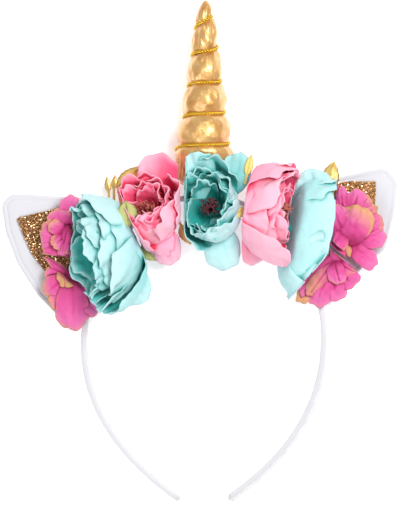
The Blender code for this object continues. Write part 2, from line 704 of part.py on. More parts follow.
def build_flower(name, core, petals, parts, helpers, surface):
    """Join the petals to the core."""
    planes = neighbour_planes(name)
    flower = add_object(name, core_mesh(name, core, planes), parts, surface)
    flower.modifiers.new("flat faces", "TRIANGULATE")
    cloth = bpy.data.collections.new(name + "_petals")
    helpers.children.link(cloth)
    for number, grid in enumerate(petals):
        layer = LAYER_STEP * (1 + number % LAYERS)
        hide_helper(add_petal(f"{name}_petal_{number + 1}", grid, planes, layer, cloth))
    joined = flower.modifiers.new("petals", "BOOLEAN")
    joined.operation = "UNION"
    joined.operand_type = "COLLECTION"
    joined.collection = cloth
    joined.solver = "EXACT"
    joined.use_self = True
    return keep_outer_body(flower)


def keep_outer_body(obj):
    """Apply the modifiers and drop the pockets that the petals close off inside."""
    mesh = bpy.data.meshes.new_from_object(obj.evaluated_get(bpy.context.evaluated_depsgraph_get()))
    made = bmesh.new()
    made.from_mesh(mesh)
    left = set(made.faces)
    bodies = []
    while left:
        queue = [left.pop()]
        found = set(queue)
        while queue:
            face = queue.pop()
            joined = [edge for edge in face.edges if len(edge.link_faces) == 2]
            near = {other for edge in joined for other in edge.link_faces} & left
            left -= near
            found |= near
            queue += near
        bodies.append(found)
    bodies.sort(key=len)
    bmesh.ops.delete(made, geom=[face for body in bodies[:-1] for face in body], context="FACES")
    made.to_mesh(mesh)
    made.free()
    obj.modifiers.clear()
    obj.data = mesh
    return obj


def build_flowers(parts, helpers, surfaces):
    for row in FLOWERS:
        name = row[0]
        frame = flower_frame(row)
        core = (*frame, row[9] / 1000, row[10] / 1000, None)
        petals = []
        for ring in RINGS:
            if ring[0] == name:
                across = PETAL_ACROSS if ring[1] == OUTER_RING_PETALS else INNER_PETAL_ACROSS
                petals += [ring_petal(frame, ring, i, across, PETAL_ALONG) for i in range(ring[1])]
        petals += [single_petal(p, PETAL_ACROSS, PETAL_ALONG) for p in PETALS if p[0] == name]
        surface = surfaces["teal" if "teal" in name else "pink"]
        build_flower(name, core, petals, parts, helpers, surface)
    for name, x, y, z, radius, height, bottom in BLOOM_CORES:
        up, across, ahead = Vector((0, 0, 1)), Vector((1, 0, 0)), Vector((0, 1, 0))
        core = (Vector((x, y, z)) / 1000, up, across, ahead, radius / 1000, height / 1000, bottom / 1000)
        petals = [single_petal(p, PETAL_ACROSS, BLOOM_PETAL_ALONG) for p in PETALS if p[0] == name]
        build_flower(name, core, petals, parts, helpers, surfaces["magenta"])


def build_stamens(parts, surface):
    """A knob of stamens on a short stalk, turned about the flower's axis, clear of its core."""
    frames = {row[0]: (flower_frame(row), row[7], row[8]) for row in FLOWERS}
    for name, flower, start, radius, length, stalk in STAMENS:
        (base, axis, side, front), wide, tall = frames[flower]
        side, front = side / wide, front / tall
        profile = [(stalk, 0.0), (stalk, length * STALK_SHARE)]
        half = length * (1 - STALK_SHARE) / 2
        profile += [(radius * sin(a), length - half - half * cos(a)) for a in KNOB_ANGLES]
        around = KNOB_SIDES
        points, faces = [], []
        for r, h in profile:
            for k in range(around):
                a = 2 * pi * k / around
                points.append(base + axis * (start + h) / 1000 + (side * cos(a) + front * sin(a)) * r / 1000)
        points.append(base + axis * start / 1000)
        points.append(base + axis * (start + length) / 1000)
        rings = len(profile)
        for k in range(around):
            on = (k + 1) % around
            faces.append((len(points) - 2, k, on))
            faces.append((len(points) - 1, (rings - 1) * around + k, (rings - 1) * around + on))
            for i in range(rings - 1):
                faces.append((i * around + k, i * around + on, (i + 1) * around + on, (i + 1) * around + k))
        add_object(name, mesh_from(name, points, faces), parts, surface)


def build_leaves(parts, surface):
    for row in LEAVES:
        grid = leaf_grid(row, LEAF_ACROSS, LEAF_ALONG)
        points = [p for column in grid for p in column]
        mesh = grid_mesh(row[0], points, LEAF_ACROSS, LEAF_ALONG)
        obj = add_object(row[0], mesh, parts, surface)
        skin = obj.modifiers.new("thickness", "SOLIDIFY")
        skin.thickness = LEAF_THICKNESS
        skin.offset = 0


def main():
    clear_scene()
    parts = new_collection("unicorn_horn_headband")
    helpers = new_collection("helpers")
    satin = material("white_satin", (0.9, 0.89, 0.88), 0.4)
    gold_cloth = material("gold_cloth", (0.83, 0.57, 0.25), 0.3, 0.8)
    gold_cord = material("gold_cord", (0.8, 0.5, 0.08), 0.35, 0.9)
    felt = material("white_felt", (0.88, 0.88, 0.9), 0.9)
    glitter = material("gold_glitter", (0.6, 0.38, 0.17), 0.4, 0.6)
    surfaces = {
        "teal": material("teal_cloth", (0.4, 0.8, 0.78), 0.8),
        "pink": material("pink_cloth", (0.95, 0.45, 0.6), 0.8),
        "magenta": material("magenta_satin", (0.85, 0.15, 0.5), 0.6),
    }
    build_band(parts, satin)
    build_horn(parts, gold_cloth)
    build_horn_cord(parts, gold_cord)
    away = BAND_THICKNESS / 2 + GAP
    for name, rows, side, first, last in EARS:
        outline = rounded_outline(rows) + beside_band(away, side, first, last)
        build_slab(name, outline, EAR_BOTTOM, EAR_THICKNESS, EAR_EDGE, parts, felt)
    panel_bottom = EAR_BOTTOM + EAR_THICKNESS + GAP
    for name, rows in PANELS:
        outline = rounded_outline(rows)
        build_slab(name, outline, panel_bottom, PANEL_THICKNESS, PANEL_EDGE, parts, glitter)
    build_flowers(parts, helpers, surfaces)
    build_stamens(parts, material("stamen_thread", (0.25, 0.04, 0.05), 0.8))
    build_leaves(parts, material("gold_leaf", (0.75, 0.5, 0.15), 0.35, 0.7))


main()
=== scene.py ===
"""The looks of the unicorn horn headband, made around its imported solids.

Metres, in the frame of the solids: +Z up from the table, +Y from the tips of the band to the tip
of the horn, and +X to the right as the front is seen from above.
"""

import random
from math import asin, atan, cos, pi, radians, sin, sqrt, tan

import bmesh
import bpy
import numpy as np
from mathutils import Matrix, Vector, noise
from mathutils.bvhtree import BVHTree


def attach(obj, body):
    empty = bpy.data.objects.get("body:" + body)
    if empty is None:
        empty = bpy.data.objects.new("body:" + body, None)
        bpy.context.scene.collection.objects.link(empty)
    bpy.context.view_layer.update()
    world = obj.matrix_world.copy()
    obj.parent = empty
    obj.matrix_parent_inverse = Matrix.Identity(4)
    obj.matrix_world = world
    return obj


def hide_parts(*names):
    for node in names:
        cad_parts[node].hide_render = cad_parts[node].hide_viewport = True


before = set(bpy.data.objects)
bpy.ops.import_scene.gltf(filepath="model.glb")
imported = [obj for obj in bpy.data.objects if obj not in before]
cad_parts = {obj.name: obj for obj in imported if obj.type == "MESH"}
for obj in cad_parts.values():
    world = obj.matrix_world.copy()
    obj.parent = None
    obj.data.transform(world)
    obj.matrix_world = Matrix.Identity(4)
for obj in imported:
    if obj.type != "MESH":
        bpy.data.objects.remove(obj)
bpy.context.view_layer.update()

# The photograph's view: from straight above.
PIXEL = 0.00055  # metres on the table for each pixel
PHOTO_SIZE = (400, 507)
ORIGIN_PIXEL = (204.5, 196.0)  # where the origin shows
CAMERA_HEIGHT = 1.4
REFERENCE_HEIGHT = 0.012  # where the scale is exact

# Sizes that repeat those of the solids.
GAP = 0.0003
BAND_WIDTH = 0.0090
BAND_THICKNESS = 0.0030
BAND_HALF_SPAN = 0.0664
BAND_CROWN_RISE = 0.0809
BAND_DROP = 0.0869
BAND_TIP_HALF_GAP = 0.0132
BAND_ARM_HANDLE = 0.0440
BAND_TIP_HANDLE = 0.0275
BAND_TIP_ANGLE = radians(35)
BAND_TIP_ROUND = 0.0040
BAND_CORNER = 0.0009
RIGHT_ARM_TWIST = radians(20)
LEFT_ARM_TWIST = radians(7)
HORN_BASE_Y = BAND_THICKNESS / 2 + GAP
HORN_TIP_Y = 0.1073
HORN_AXIS_HEIGHT = 0.0163
HORN_BASE_X = -0.0004
HORN_TIP_X = 0.0006
HORN_FOOT_RADIUS = 0.0155
HORN_LOBE_RADIUS = 0.0146
HORN_LOBE_Y = 0.0363
HORN_TAPER = 0.152
HORN_FIRST_TURN_Y = 0.0275
HORN_PITCH = 0.0171
HORN_LEVELLING = 0.165
HORN_GROOVE = 0.0033
HORN_FIRST_TURN = -0.36
HORN_LAST_TURN = 4.16
HORN_TOP_TURN = 4.55
HORN_TIP_ROUND_Y = 0.0950
HORN_FOOT_DEPTH = 0.0095
HORN_FOOT_LIFT = 0.0008
HORN_FOOT_END_Y = 0.0300
CORD_RADIUS = 0.0008
CORD_SEAT = 0.00135
CORD_TWIST = 0.0030  # the length of a full twist of the two plies
EAR_BOTTOM = 0.0012
EAR_THICKNESS = 0.0046

# How fine the meshes are.
BAND_SPANS = 260
ARCH_STEPS = 400
HORN_COLUMNS = 112
HORN_ROWS_PER_TURN = 36
CORD_STEPS = 150  # in a turn of the horn
PLY_SIDES = 8
PETAL_ACROSS = 26
PETAL_ALONG = 26

EAR_LEFT = (
    # x, y, rounding: millimetres
    (-60, -1, 0),
    (-106.6, 1.4, 5),
    (-112.2, -4, 5),
    (-109.8, -20, 12),
    (-103.5, -37, 14),
    (-92, -55, 12),
    (-76, -71.5, 4),
)
EAR_RIGHT = (
    # x, y, rounding
    (62, 8, 0),
    (100, 16.2, 6),
    (107, 8.5, 7),
    (105.4, -8, 14),
    (100, -29.5, 6),
    (89, -38, 10),
    (78, -49, 4),
)
EARS = (
    # name, outline, side of the band, and the lower and upper end of the inner edge on the band
    ("ear_left", EAR_LEFT, -1, -0.0660, -0.0230),
    ("ear_right", EAR_RIGHT, 1, -0.0480, -0.0200),
)
PANEL_LEFT = (
    # x, y, rounding
    (-71, -9, 0),
    (-81.5, -6.8, 1),
    (-103.6, -12, 1.5),
    (-100, -21.5, 8),
    (-95.5, -31.5, 8),
    (-85, -45.5, 1),
    (-71, -47, 0),
)
PANEL_RIGHT = (
    # x, y, rounding
    (70, 7, 0),
    (81, 8.2, 0),
    (94.6, 8.2, 1),
    (94, -8, 1),
    (86, -16, 0),
    (72, -16, 0),
)
PANELS = (("glitter_panel_left", PANEL_LEFT), ("glitter_panel_right", PANEL_RIGHT))

# Petals: cloth, thinner here than in the solids, which keeps the petals clear of each other.
PETAL_THICKNESS = 0.00045
FOLD_DEPTH = 1.0  # millimetres, along the middle of a single petal
RIM_CURL = 2.2  # millimetres that a petal's rim rolls outwards
SEAT = BAND_WIDTH + GAP + 0.0005
SHUT_IN_RAYS = 12
SHUT_IN_REACH = 0.009
PAINTED_SHADE_FROM, PAINTED_SHADE_FULL, PAINTED_SHADE_SHARE = 0.12, 0.62, 0.85  # painted shade in the deep colour, by how far a point is shut in
SOFTNESS = 0.0017
CLEARANCE = 0.0004
LAYERS = 7
RING_CRUMPLE, PETAL_CRUMPLE, BLOOM_CRUMPLE = 0.0013, 0.0010, 0.0015
LAYER_STEP = 0.00035

BETWEEN = (
    # first flower, second, point x, y, z and direction x, y, z of the plane between them
    ("flower_teal_left", "flower_pink_left", -38, -20, 25, 0.905, 0.427, 0),
    ("flower_pink_left", "flower_teal_middle", -12, 0, 25, 1, 0, 0),
    ("flower_teal_middle", "flower_pink_right", 20.6, -8, 32, 0.94, -0.16, 0.25),
    ("flower_pink_right", "flower_teal_right", 52.8, -4, 36, 0.93, -0.21, -0.30),
    ("flower_teal_left", "bloom_left_upper", -76.7, -20, 32, -0.93, 0.10, -0.36),
    ("flower_teal_left", "bloom_left_lower", -66, -54.5, 28, -0.55, -0.75, -0.36),
    ("bloom_left_upper", "bloom_left_lower", -75, -34, 20, -0.10, -1, 0),
    ("flower_teal_right", "bloom_right_upper", 70, -10, 25, 0.976, -0.18, -0.10),
    ("flower_teal_right", "bloom_right_lower", 62.5, -35.5, 25, 0.777, -0.63, -0.10),
    ("bloom_right_upper", "bloom_right_lower", 76, -34, 20, -0.64, -0.77, 0),
)
FLOWERS = (
    # name, base x, y, z, axis x, y, z, stretch sideways and frontwards, core radius and height
    ("flower_teal_left", -35.5, -22.5, 22.5, -0.90, -0.30, 0.34, 1.22, 0.66, 5, 7),
    ("flower_pink_left", -27.5, -15.5, 10.5, -0.24, 0.34, 0.91, 1.02, 1.08, 5, 6),
    ("flower_teal_middle", 6, -7.5, 10.5, -0.18, 0.06, 0.97, 0.94, 1.10, 5, 6),
    ("flower_pink_right", 18, -8, 22.5, 0.96, 0.02, 0.28, 1.10, 0.68, 5, 9),
    ("flower_teal_right", 40, -17.5, 20, 0.96, -0.20, 0.20, 1.28, 0.64, 5, 9),
)
RINGS = {
    # For each flower, from the outer ring inwards: petals, first angle, base radius, base height,
    # length, width, angle from the axis at the base and at the rim, how fast it turns, how far one
    # side tucks under, ruffle, and how much shorter the petals at the front are
    "flower_teal_left": (
        (4, 80, 6, 0, 46, 46, 92, -6, 0.75, 1.6, 1, 0.40),
        (5, 38, 5.5, 2, 44, 36, 84, -6, 0.75, 1.6, 1.3, 0.32),
        (5, 66, 5, 4, 41, 30, 72, -4, 0.75, 1.4, 1.3, 0.23),
        (5, 50, 4.5, 6, 37, 26, 58, -2, 0.8, 1.2, 1.2, 0.12),
        (4, 95, 4, 8, 32, 22, 44, 2, 0.9, 1, 1, 0.02),
    ),
    "flower_pink_left": (
        (5, 20, 5, 0, 33, 30, 84, -14, 0.8, 1.6, 1.1, 0),
        (5, 55, 4.8, 2, 31, 25, 74, -12, 0.85, 1.4, 1.2, 0),
        (5, 22, 4.4, 3, 28, 21, 62, -10, 0.85, 1.2, 1.1, 0),
        (4, 50, 4, 4, 25, 18, 50, -6, 0.9, 1, 0.9, 0),
        (4, 0, 3.6, 5, 21, 14, 36, 4, 0.9, 0.8, 0.8, 0),
    ),
    "flower_teal_middle": (
        (5, 5, 5, 0, 33, 30, 84, -12, 0.8, 1.6, 1, 0),
        (5, 35, 4.8, 2, 30, 25, 74, -10, 0.85, 1.4, 1.2, 0),
        (5, 62, 4.4, 3, 27, 21, 62, -8, 0.85, 1.2, 1.1, 0),
        (4, 20, 4, 4, 24, 18, 50, -4, 0.9, 1, 0.9, 0),
    ),
    "flower_pink_right": (
        (4, 80, 6, 0, 46, 46, 90, -16, 0.75, 1.6, 1.1, 0.36),
        (5, 40, 5.5, 2, 43, 34, 82, -14, 0.75, 1.6, 1.3, 0.34),
        (5, 72, 5, 5, 38, 28, 66, -10, 0.8, 1.4, 1.2, 0.33),
        (4, 45, 4.5, 8, 32, 24, 52, -6, 0.85, 1.2, 1.1, 0.34),
        (4, 10, 4, 10, 26, 17, 42, -2, 0.9, 1, 0.9, 0.34),
    ),
    "flower_teal_right": (
        (4, 86, 6, 0, 46, 46, 92, -10, 0.75, 1.6, 1, 0.12),
        (5, 50, 5.5, 2, 41, 34, 84, -8, 0.75, 1.6, 1.3, 0.20),
        (5, 76, 5, 4, 37, 28, 66, -6, 0.8, 1.4, 1.3, 0.20),
        (5, 50, 4.5, 6, 34, 24, 52, 0, 0.85, 1.2, 1.2, 0.16),
    ),
}
SIDES = {
    # direction, and how much shorter and more closed the flower's petals are on that side
    "flower_teal_left": (
        (175, 0.24, 4),
        (270, -0.08, 4),
    ),
    "flower_pink_left": (
        (270, -0.16, 62),
        (345, -0.10, 24),
        (110, 0.10, 0),
    ),
    "flower_teal_middle": (
        (325, -0.10, 64),
    ),
    "flower_pink_right": (
        (0, 0.06, 8),
    ),
    "flower_teal_right": (
        (90, -0.10, 6),
        (10, 0.12, 4),
        (130, -0.12, 0),
    ),
}
PETALS = {
    # root x, y, z, tip x, y, z, width, bulge, cup, ruffle, painted shade over one side: 0 is pale and 1 is
    # deep
    "flower_teal_left": (
        (-42, -30, 20, -50, -59.5, 14, 36, 6, 4, 1, 0),
        (-44, -34, 27, -57, -54.5, 22, 20, 4, 3, 1.2, 0.9),
    ),
    "flower_pink_left": (
        (-27, -6, 14, -24.5, 23.2, 20, 22, 3, 2.5, 0.4, 0.95),
        (-24, -14, 22, -18, -37.4, 14, 16, 5, 3, 0.8, 0.1),
        (-25, -8, 24, -31.5, -33.5, 15, 26, 7, 3, 1, 0.1),
    ),
    "flower_teal_middle": (
        (6, -12, 20, 12.5, -40.2, 13, 20, 4, 2.5, 0.3, 0.05),
        (-2, -2, 20, -4.5, 23.6, 31, 19, 1, 1.5, 1.2, 0.2),
        (11, -2, 20, 21.5, 22.6, 25, 17, 2, 2, 0.6, 0.35),
    ),
    "flower_pink_right": (
        (28, -14, 30, 23, -37, 15, 18, 5, 3, 0.4, 0.35),
        (38, -20, 32, 45, -33, 22, 14, 3, 2, 0.8, 0.9),
    ),
    "flower_teal_right": (
        (60, -14, 16, 58.5, 14.5, 17, 22, 2, 3, 0.5, 0.1),
    ),
}
BLOOM_PETALS = {
    # root x, y, z, tip x, y, z, width, bulge, cup, ruffle, share of gold: millimetres
    "bloom_left_upper": (
        (-77, -20, 13, -82, -42, 15, 18, 2, 1.5, 1, 0.5),
        (-76, -18, 13, -71.2, 0, 15, 13, 3, 2, 0.4, 0.1),
        (-78, -18, 13, -81.5, -7, 15, 13, 3, 2, 0.4, 0.6),
        (-78, -22, 13, -89.5, -18.5, 14, 14, 3, 2, 0.5, 0.6),
        (-77, -24, 13, -88, -31.5, 13, 13, 3, 2, 0.5, 0.4),
        (-77, -20, 15, -84, -14.5, 18, 9, 2, 2.5, 0.4, 0.8),
        (-76, -22, 15, -83, -27.5, 19, 9, 2, 2.5, 0.4, 0.8),
        (-75, -16, 16, -78.5, -34, 17, 7, 2, 2.5, 0.3, 0.3),
        (-73, -20, 14, -73, -32, 18, 10, 2, 2, 0.4, 0.5),
    ),
    "bloom_left_lower": (
        (-75, -46, 13, -81, -24, 15, 16, 2, 1.5, 0.8, 0.7),
        (-71, -44, 14, -60.8, -65.4, 13, 16, 3, 2, 0.8, 0.1),
        (-73, -43, 15, -72.3, -73.6, 13, 18, 3.5, 2, 0.8, 0.3),
        (-75, -45, 13, -82, -62.5, 13, 11, 3, 2, 0.4, 0.6),
        (-76, -44, 14, -87.5, -54, 13, 12, 3, 2, 0.4, 0.7),
        (-76, -42, 13, -87.5, -44, 13, 10, 2, 2, 0.4, 0.5),
        (-74, -36, 15, -76.5, -49.5, 17, 10, 3, 2, 0.3, 1.6),
    ),
    "bloom_right_upper": (
        (79, -14, 13, 85.5, 3.5, 13, 11, 2, 2, 0.4, 0.2),
        (80, -14, 13, 90, 0, 13, 10, 2, 2, 0.5, 0.6),
        (81, -16, 13, 94.5, -5.5, 13, 10, 2, 2, 0.5, 0.8),
        (82, -20, 13, 97.5, -12.5, 13, 12, 3, 2, 0.4, 0.6),
        (82, -24, 13, 100, -20.5, 13, 14, 3, 2, 0.4, 0.1),
        (80, -26, 13, 93.2, -39, 12, 12, 3, 2, 0.3, 0),
        (77, -18, 16, 66.5, -31, 22, 14, 2.5, 2, 1, 0.7),
        (77, -22, 16, 68, -6, 22, 15, 2.5, 2, 1, 0.2),
        (76, -24, 16, 65, -40, 18, 12, 2.5, 2, 1, 0.3),
        (79.5, -27, 15, 84.4, -5.5, 20, 20, 3.5, 2.5, 0.9, 0.9),
        (75, -15, 13, 68.5, 6.8, 15, 6, 1, 3, 0.3, 0.1),
        (77, -14, 13, 74, 5.5, 15, 8, 1, 3, 0.3, 0.1),
        (74, -15, 16, 77.5, -35, 15, 8, 2, 2.5, 0.2, 1.6),
    ),
    "bloom_right_lower": (
        (71, -42, 13, 84, -22, 15, 18, 2, 2, 0.8, 0.8),
        (71, -32, 13, 51.5, -51.5, 13, 8, 1, 3, 0.3, 0.1),
        (71, -33, 14, 53, -55, 14, 8, 1, 3, 0.3, 0.2),
        (68, -40, 13, 51, -58, 12, 9, 2, 2, 0.3, 1.6),
        (70, -37, 14, 60.5, -60.5, 13, 15, 3, 3, 0.4, 0.1),
        (69, -38, 16, 57, -54.5, 15, 8, 2, 2.5, 0.2, 1.6),
        (71, -38, 14, 71, -58, 13, 15, 3, 3, 0.4, 0.1),
        (73, -37, 14, 81.5, -50, 13, 14, 3, 2.5, 0.4, 0.2),
        (74, -38, 15, 82.5, -41.5, 15, 10, 2, 2, 0.4, 1),
        (71, -36, 15, 74, -48, 19, 10, 2, 2, 0.5, 0.3),
    ),
}
BLOOM_CORES = (
    # name, x, y, z, radius
    ("bloom_left_upper", -76, -21, 11.5, 3.5),
    ("bloom_left_lower", -74, -44, 11.5, 3.5),
    ("bloom_right_upper", 79, -20, 11.5, 3.5),
    ("bloom_right_lower", 71, -37, 11.5, 3.5),
)
STAMENS = (
    # name, flower it stands in, how far up the flower's axis, radius, length, stalk radius
    ("stamens_pink_left", "flower_pink_left", 9.3, 7, 17, 1.5),
    ("stamens_teal_middle", "flower_teal_middle", 9.3, 5.5, 14, 1.5),
    ("stamens_pink_right", "flower_pink_right", 15.5, 4.6, 16, 1.2),
)
STAMEN_THREADS, STAMEN_STEPS, STAMEN_SIDES = 95, 13, 5
LEAVES = (
    # name, root x, y, z, knee x, y, z, tip x, y, z, width, fold: millimetres
    ("leaf_gold_left_inner", -43.4, -16.8, 7.4, -48, 5, 7.4, -34.6, 16.4, 7.4, 8.5, 1),
    ("leaf_gold_left_middle", -49.3, -22, 7.4, -50, 3.5, 7.4, -49.4, 11.5, 7.4, 3.2, 0.4),
    ("leaf_gold_left_outer", -52.8, -26.7, 7.4, -52.8, 2, 7.4, -54, 10.5, 7.4, 3.4, 0.4),
    ("leaf_gold_right", 63, -19, 8.3, 67.5, 3, 8.3, 71.5, 19, 8.3, 10, 1.2),
)
SMALL_LEAVES = (
    # name, tint, root x, y, z, knee x, y, z, tip x, y, z, width, fold
    ("leaf_olive_left", "olive", -42, -3, 22, -42.6, -4, 34, -41, -17, 38, 11, 1),
    ("leaf_olive_lower", "olive", -35, -24, 20, -34, -26.5, 20, -26.5, -35.5, 16, 9, 0.8),
    ("leaf_tan_middle", "tan", -14, -14, 18, -13, -16, 18, -7.5, -26.5, 16, 7, 0.8),
    ("leaf_yellow_upper", "yellow", 22, 6, 24, 23, 11, 25, 25.6, 22, 26, 4.6, 0.6),
    ("leaf_yellow_lower", "yellow", 22.5, -4, 24, 21.6, -7, 27, 13.6, -12.8, 30, 6, 0.6),
    ("leaf_tan_right", "tan", 58, -38, 12, 56, -40, 12, 46, -51.5, 12, 8, 0.8),
)
LEAF_THICKNESS = 0.0006
LEAF_ARCH = 0.08  # how far a leaf's middle stands up, as a share of its length
LEAF_TINTS = {
    "gold": ((238, 202, 120), (160, 108, 40)),
    "olive": ((186, 190, 120), (128, 128, 62)),
    "tan": ((222, 170, 104), (176, 122, 64)),
    "yellow": ((236, 214, 128), (196, 168, 70)),
}


def linear(*display):
    """A colour as it shows, from 0 to 255, as the linear values that shaders take."""
    return tuple(c / 255 / 12.92 if c < 10.3 else ((c / 255 + 0.055) / 1.055) ** 2.4 for c in display)


# For each cloth: the pale outside, the middle tone, and the deep tone of the inside.
CLOTHS = {
    "teal": (linear(192, 230, 232), linear(124, 210, 208), linear(24, 172, 164)),
    "pink": (linear(252, 188, 208), linear(253, 146, 180), linear(246, 60, 114)),
    "magenta": (linear(232, 116, 178), linear(218, 70, 144), linear(168, 16, 88)),
}
BLOOM_GOLD = linear(214, 156, 100)
STAMEN_TINTS = {
    # whether the flower is teal: the dark and the light end of a thread
    True: (linear(70, 18, 30), linear(120, 60, 66)),
    False: (linear(150, 62, 62), linear(214, 128, 110)),
}
# Painted light: the cord's plies are shaded dark towards the cord's middle and lit bright on their outer
# crests.
CORD_SHADED, CORD_LIT = linear(104, 58, 8), linear(255, 208, 56)
UP = np.array((0.0, 0.0, 1.0))


def smoothstep(low, high, value):
    t = np.clip((value - low) / (high - low), 0.0, 1.0)
    return t * t * (3 - 2 * t)


def blend(a, b, share):
    """Colours between a and b, one for each share."""
    share = np.asarray(share)[..., None]
    return np.asarray(a) * (1 - share) + np.asarray(b) * share


# Materials


def new_material(name, colour, roughness, metallic=0.0, **sockets):
    made = bpy.data.materials.new(name)
    made.use_nodes = True
    values = {"Base Color": (*colour, 1.0), "Roughness": roughness, "Metallic": metallic, **sockets}
    for socket, value in values.items():
        made.node_tree.nodes["Principled BSDF"].inputs[socket.replace("_", " ")].default_value = value
    return made


def add_node(made, kind, inputs=(), **settings):
    node = made.node_tree.nodes.new(kind)
    for name, value in settings.items():
        setattr(node, name, value)
    for name, value in dict(inputs).items():
        if isinstance(value, bpy.types.NodeSocket):
            made.node_tree.links.new(value, node.inputs[name])
        else:
            node.inputs[name].default_value = value
    return node


def to_shader(made, socket, name):
    made.node_tree.links.new(socket, made.node_tree.nodes["Principled BSDF"].inputs[name])


def object_place(made):
    return add_node(made, "ShaderNodeTexCoord").outputs["Object"]


def noise_height(made, scale, detail=3.0, roughness=0.55):
    inputs = {"Vector": object_place(made), "Scale": scale, "Detail": detail, "Roughness": roughness}
    return add_node(made, "ShaderNodeTexNoise", inputs).outputs["Fac"]


def weave_height(made, scale, direction):
    inputs = {"Vector": object_place(made), "Scale": scale, "Distortion": 0.6, "Detail": 1.0}
    return add_node(made, "ShaderNodeTexWave", inputs, bands_direction=direction).outputs["Fac"]


def mottled_colour(made, scale, low, high):
    """The base colour comes from the mesh's colour attribute, mottled a little by noise."""
    colour = add_node(made, "ShaderNodeAttribute", attribute_name="colour").outputs["Color"]
    inputs = {"Value": noise_height(made, scale), "To Min": low, "To Max": high}
    share = add_node(made, "ShaderNodeMapRange", inputs).outputs["Result"]
    mixed = add_node(made, "ShaderNodeVectorMath", {"Vector": colour, "Scale": share}, operation="SCALE")
    to_shader(made, mixed.outputs["Vector"], "Base Color")


def patched_colour(made, scale, detail, patches):
    """The base colour runs between two colours in soft patches."""
    ramp = add_node(made, "ShaderNodeValToRGB", {"Fac": noise_height(made, scale, detail)})
    for element, (position, colour) in zip(ramp.color_ramp.elements, patches):
        element.position = position
        element.color = (*colour, 1)
    to_shader(made, ramp.outputs["Color"], "Base Color")


def make_look(name, colour, roughness, metallic, top, mottling, bumps):
    """A material with its sheen or coat, its colours and its bumps, which stack on each other."""
    sockets = {f"{kind}_{what}": value for kind, *both in top for what, value in zip(TOP_SOCKETS, both)}
    made = new_material(name, colour, roughness, metallic, **sockets)
    if mottling:
        mottled_colour(made, *mottling)
    normal = None
    for strength, depth, height, *values in bumps:
        inputs = {"Strength": strength, "Distance": depth, "Height": height(made, *values)}
        if normal is not None:
            inputs["Normal"] = normal
        normal = add_node(made, "ShaderNodeBump", inputs).outputs["Normal"]
        to_shader(made, normal, "Normal")
    return made


TOP_SOCKETS = ("Weight", "Roughness")
PETAL_MOTTLING = (260, 0.93, 1.07)
PETAL_BUMPS = ((0.35, 0.0006, noise_height, 330, 4), (0.12, 0.0001, weave_height, 1500, "X"))
PETAL_LOOKS = (
    # name, roughness, sheen
    ("teal_cloth", 0.85, 0.15),
    ("pink_cloth", 0.85, 0.15),
    ("magenta_satin", 0.6, 0.1),
    ("leaf_cloth", 0.7, 0.1),
)
SATIN_BUMPS = ((0.15, 0.0006, noise_height, 120, 2), (0.08, 0.0001, weave_height, 1600, "Y"))
GOLD_BUMPS = ((0.8, 0.0009, noise_height, 210, 5, 0.6), (0.15, 0.0001, weave_height, 1400, "Y"))
FELT_BUMPS = ((0.3, 0.0012, noise_height, 90, 3), (0.35, 0.0002, noise_height, 2200, 2, 0.7))
CORD_BUMPS = ((0.4, 0.0001, noise_height, 2600, 2),)
LEAF_BUMPS = ((0.3, 0.0003, noise_height, 700, 3),)
LOOKS = (
    # name, colour, roughness, metallic, sheen or coat with its weight and roughness, mottling with
    # its scale and its least and most, and bumps with strength, depth, kind, scale and detail
    ("white_satin", linear(214, 212, 216), 0.34, 0, [("Sheen", 0.25, 0.4)], (), SATIN_BUMPS),
    ("gold_cloth", linear(230, 182, 116), 0.36, 0.62, [("Coat", 0.9, 0.2)], (), GOLD_BUMPS),
    ("white_felt", linear(216, 216, 222), 0.95, 0, [("Sheen", 0.4, 0.7)], (), FELT_BUMPS),
    ("gold_glitter", (0.6, 0.4, 0.2), 0.22, 0.85, [], (900, 0.9, 1.1), ()),
    ("gold_cord", linear(250, 200, 40), 0.34, 0.7, [], (1200, 0.85, 1.15), CORD_BUMPS),
    ("gold_leaf", linear(222, 176, 84), 0.36, 0.45, [], (300, 0.9, 1.1), LEAF_BUMPS),
    ("stamen_thread", (0.2, 0.05, 0.05), 0.75, 0, [], (900, 0.8, 1.2), ()),
)
MATERIALS = {row[0]: make_look(*row) for row in LOOKS}
for look, dull, sheen in PETAL_LOOKS:
    top = [("Sheen", sheen, 0.5)]
    MATERIALS[look] = make_look(look, (0.8, 0.8, 0.8), dull, 0, top, PETAL_MOTTLING, PETAL_BUMPS)
GOLD_PATCHES = ((0.3, linear(210, 148, 76)), (0.75, linear(242, 200, 130)))
patched_colour(MATERIALS["gold_cloth"], 150, 4, GOLD_PATCHES)


# Meshes


class Shape:
    """Points, faces and a colour for each point, gathered from many small pieces."""

    def __init__(self):
        self.points = []
        self.faces = []
        self.colours = []
        self.count = 0

    def add(self, points, faces, colours):
        points = np.asarray(points, dtype=float).reshape(-1, 3)
        colours = np.broadcast_to(np.asarray(colours, dtype=float), points.shape)
        self.points.append(points)
        self.colours.append(colours)
        self.faces += [tuple(i + self.count for i in face) for face in faces]
        self.count += len(points)

    def make(self, name, slot, nodes=(), smooth=True, deep=None, look=None):
        mesh = bpy.data.meshes.new(name)
        mesh.from_pydata(np.concatenate(self.points).tolist(), [], self.faces)
        colours = np.concatenate(self.colours)
        # Painted shade: points shut in by the cloth around them are blended towards the deep colour.
        if deep is not None:
            colours = blend(colours, deep, smoothstep(PAINTED_SHADE_FROM, PAINTED_SHADE_FULL, shut_in(mesh)) * PAINTED_SHADE_SHARE)
        layer = mesh.color_attributes.new("colour", "FLOAT_COLOR", "POINT")
        layer.data.foreach_set("color", np.hstack([colours, np.ones((len(colours), 1))]).ravel())
        if smooth:
            mesh.shade_smooth()
        return place_piece(name, mesh, slot, nodes, look)


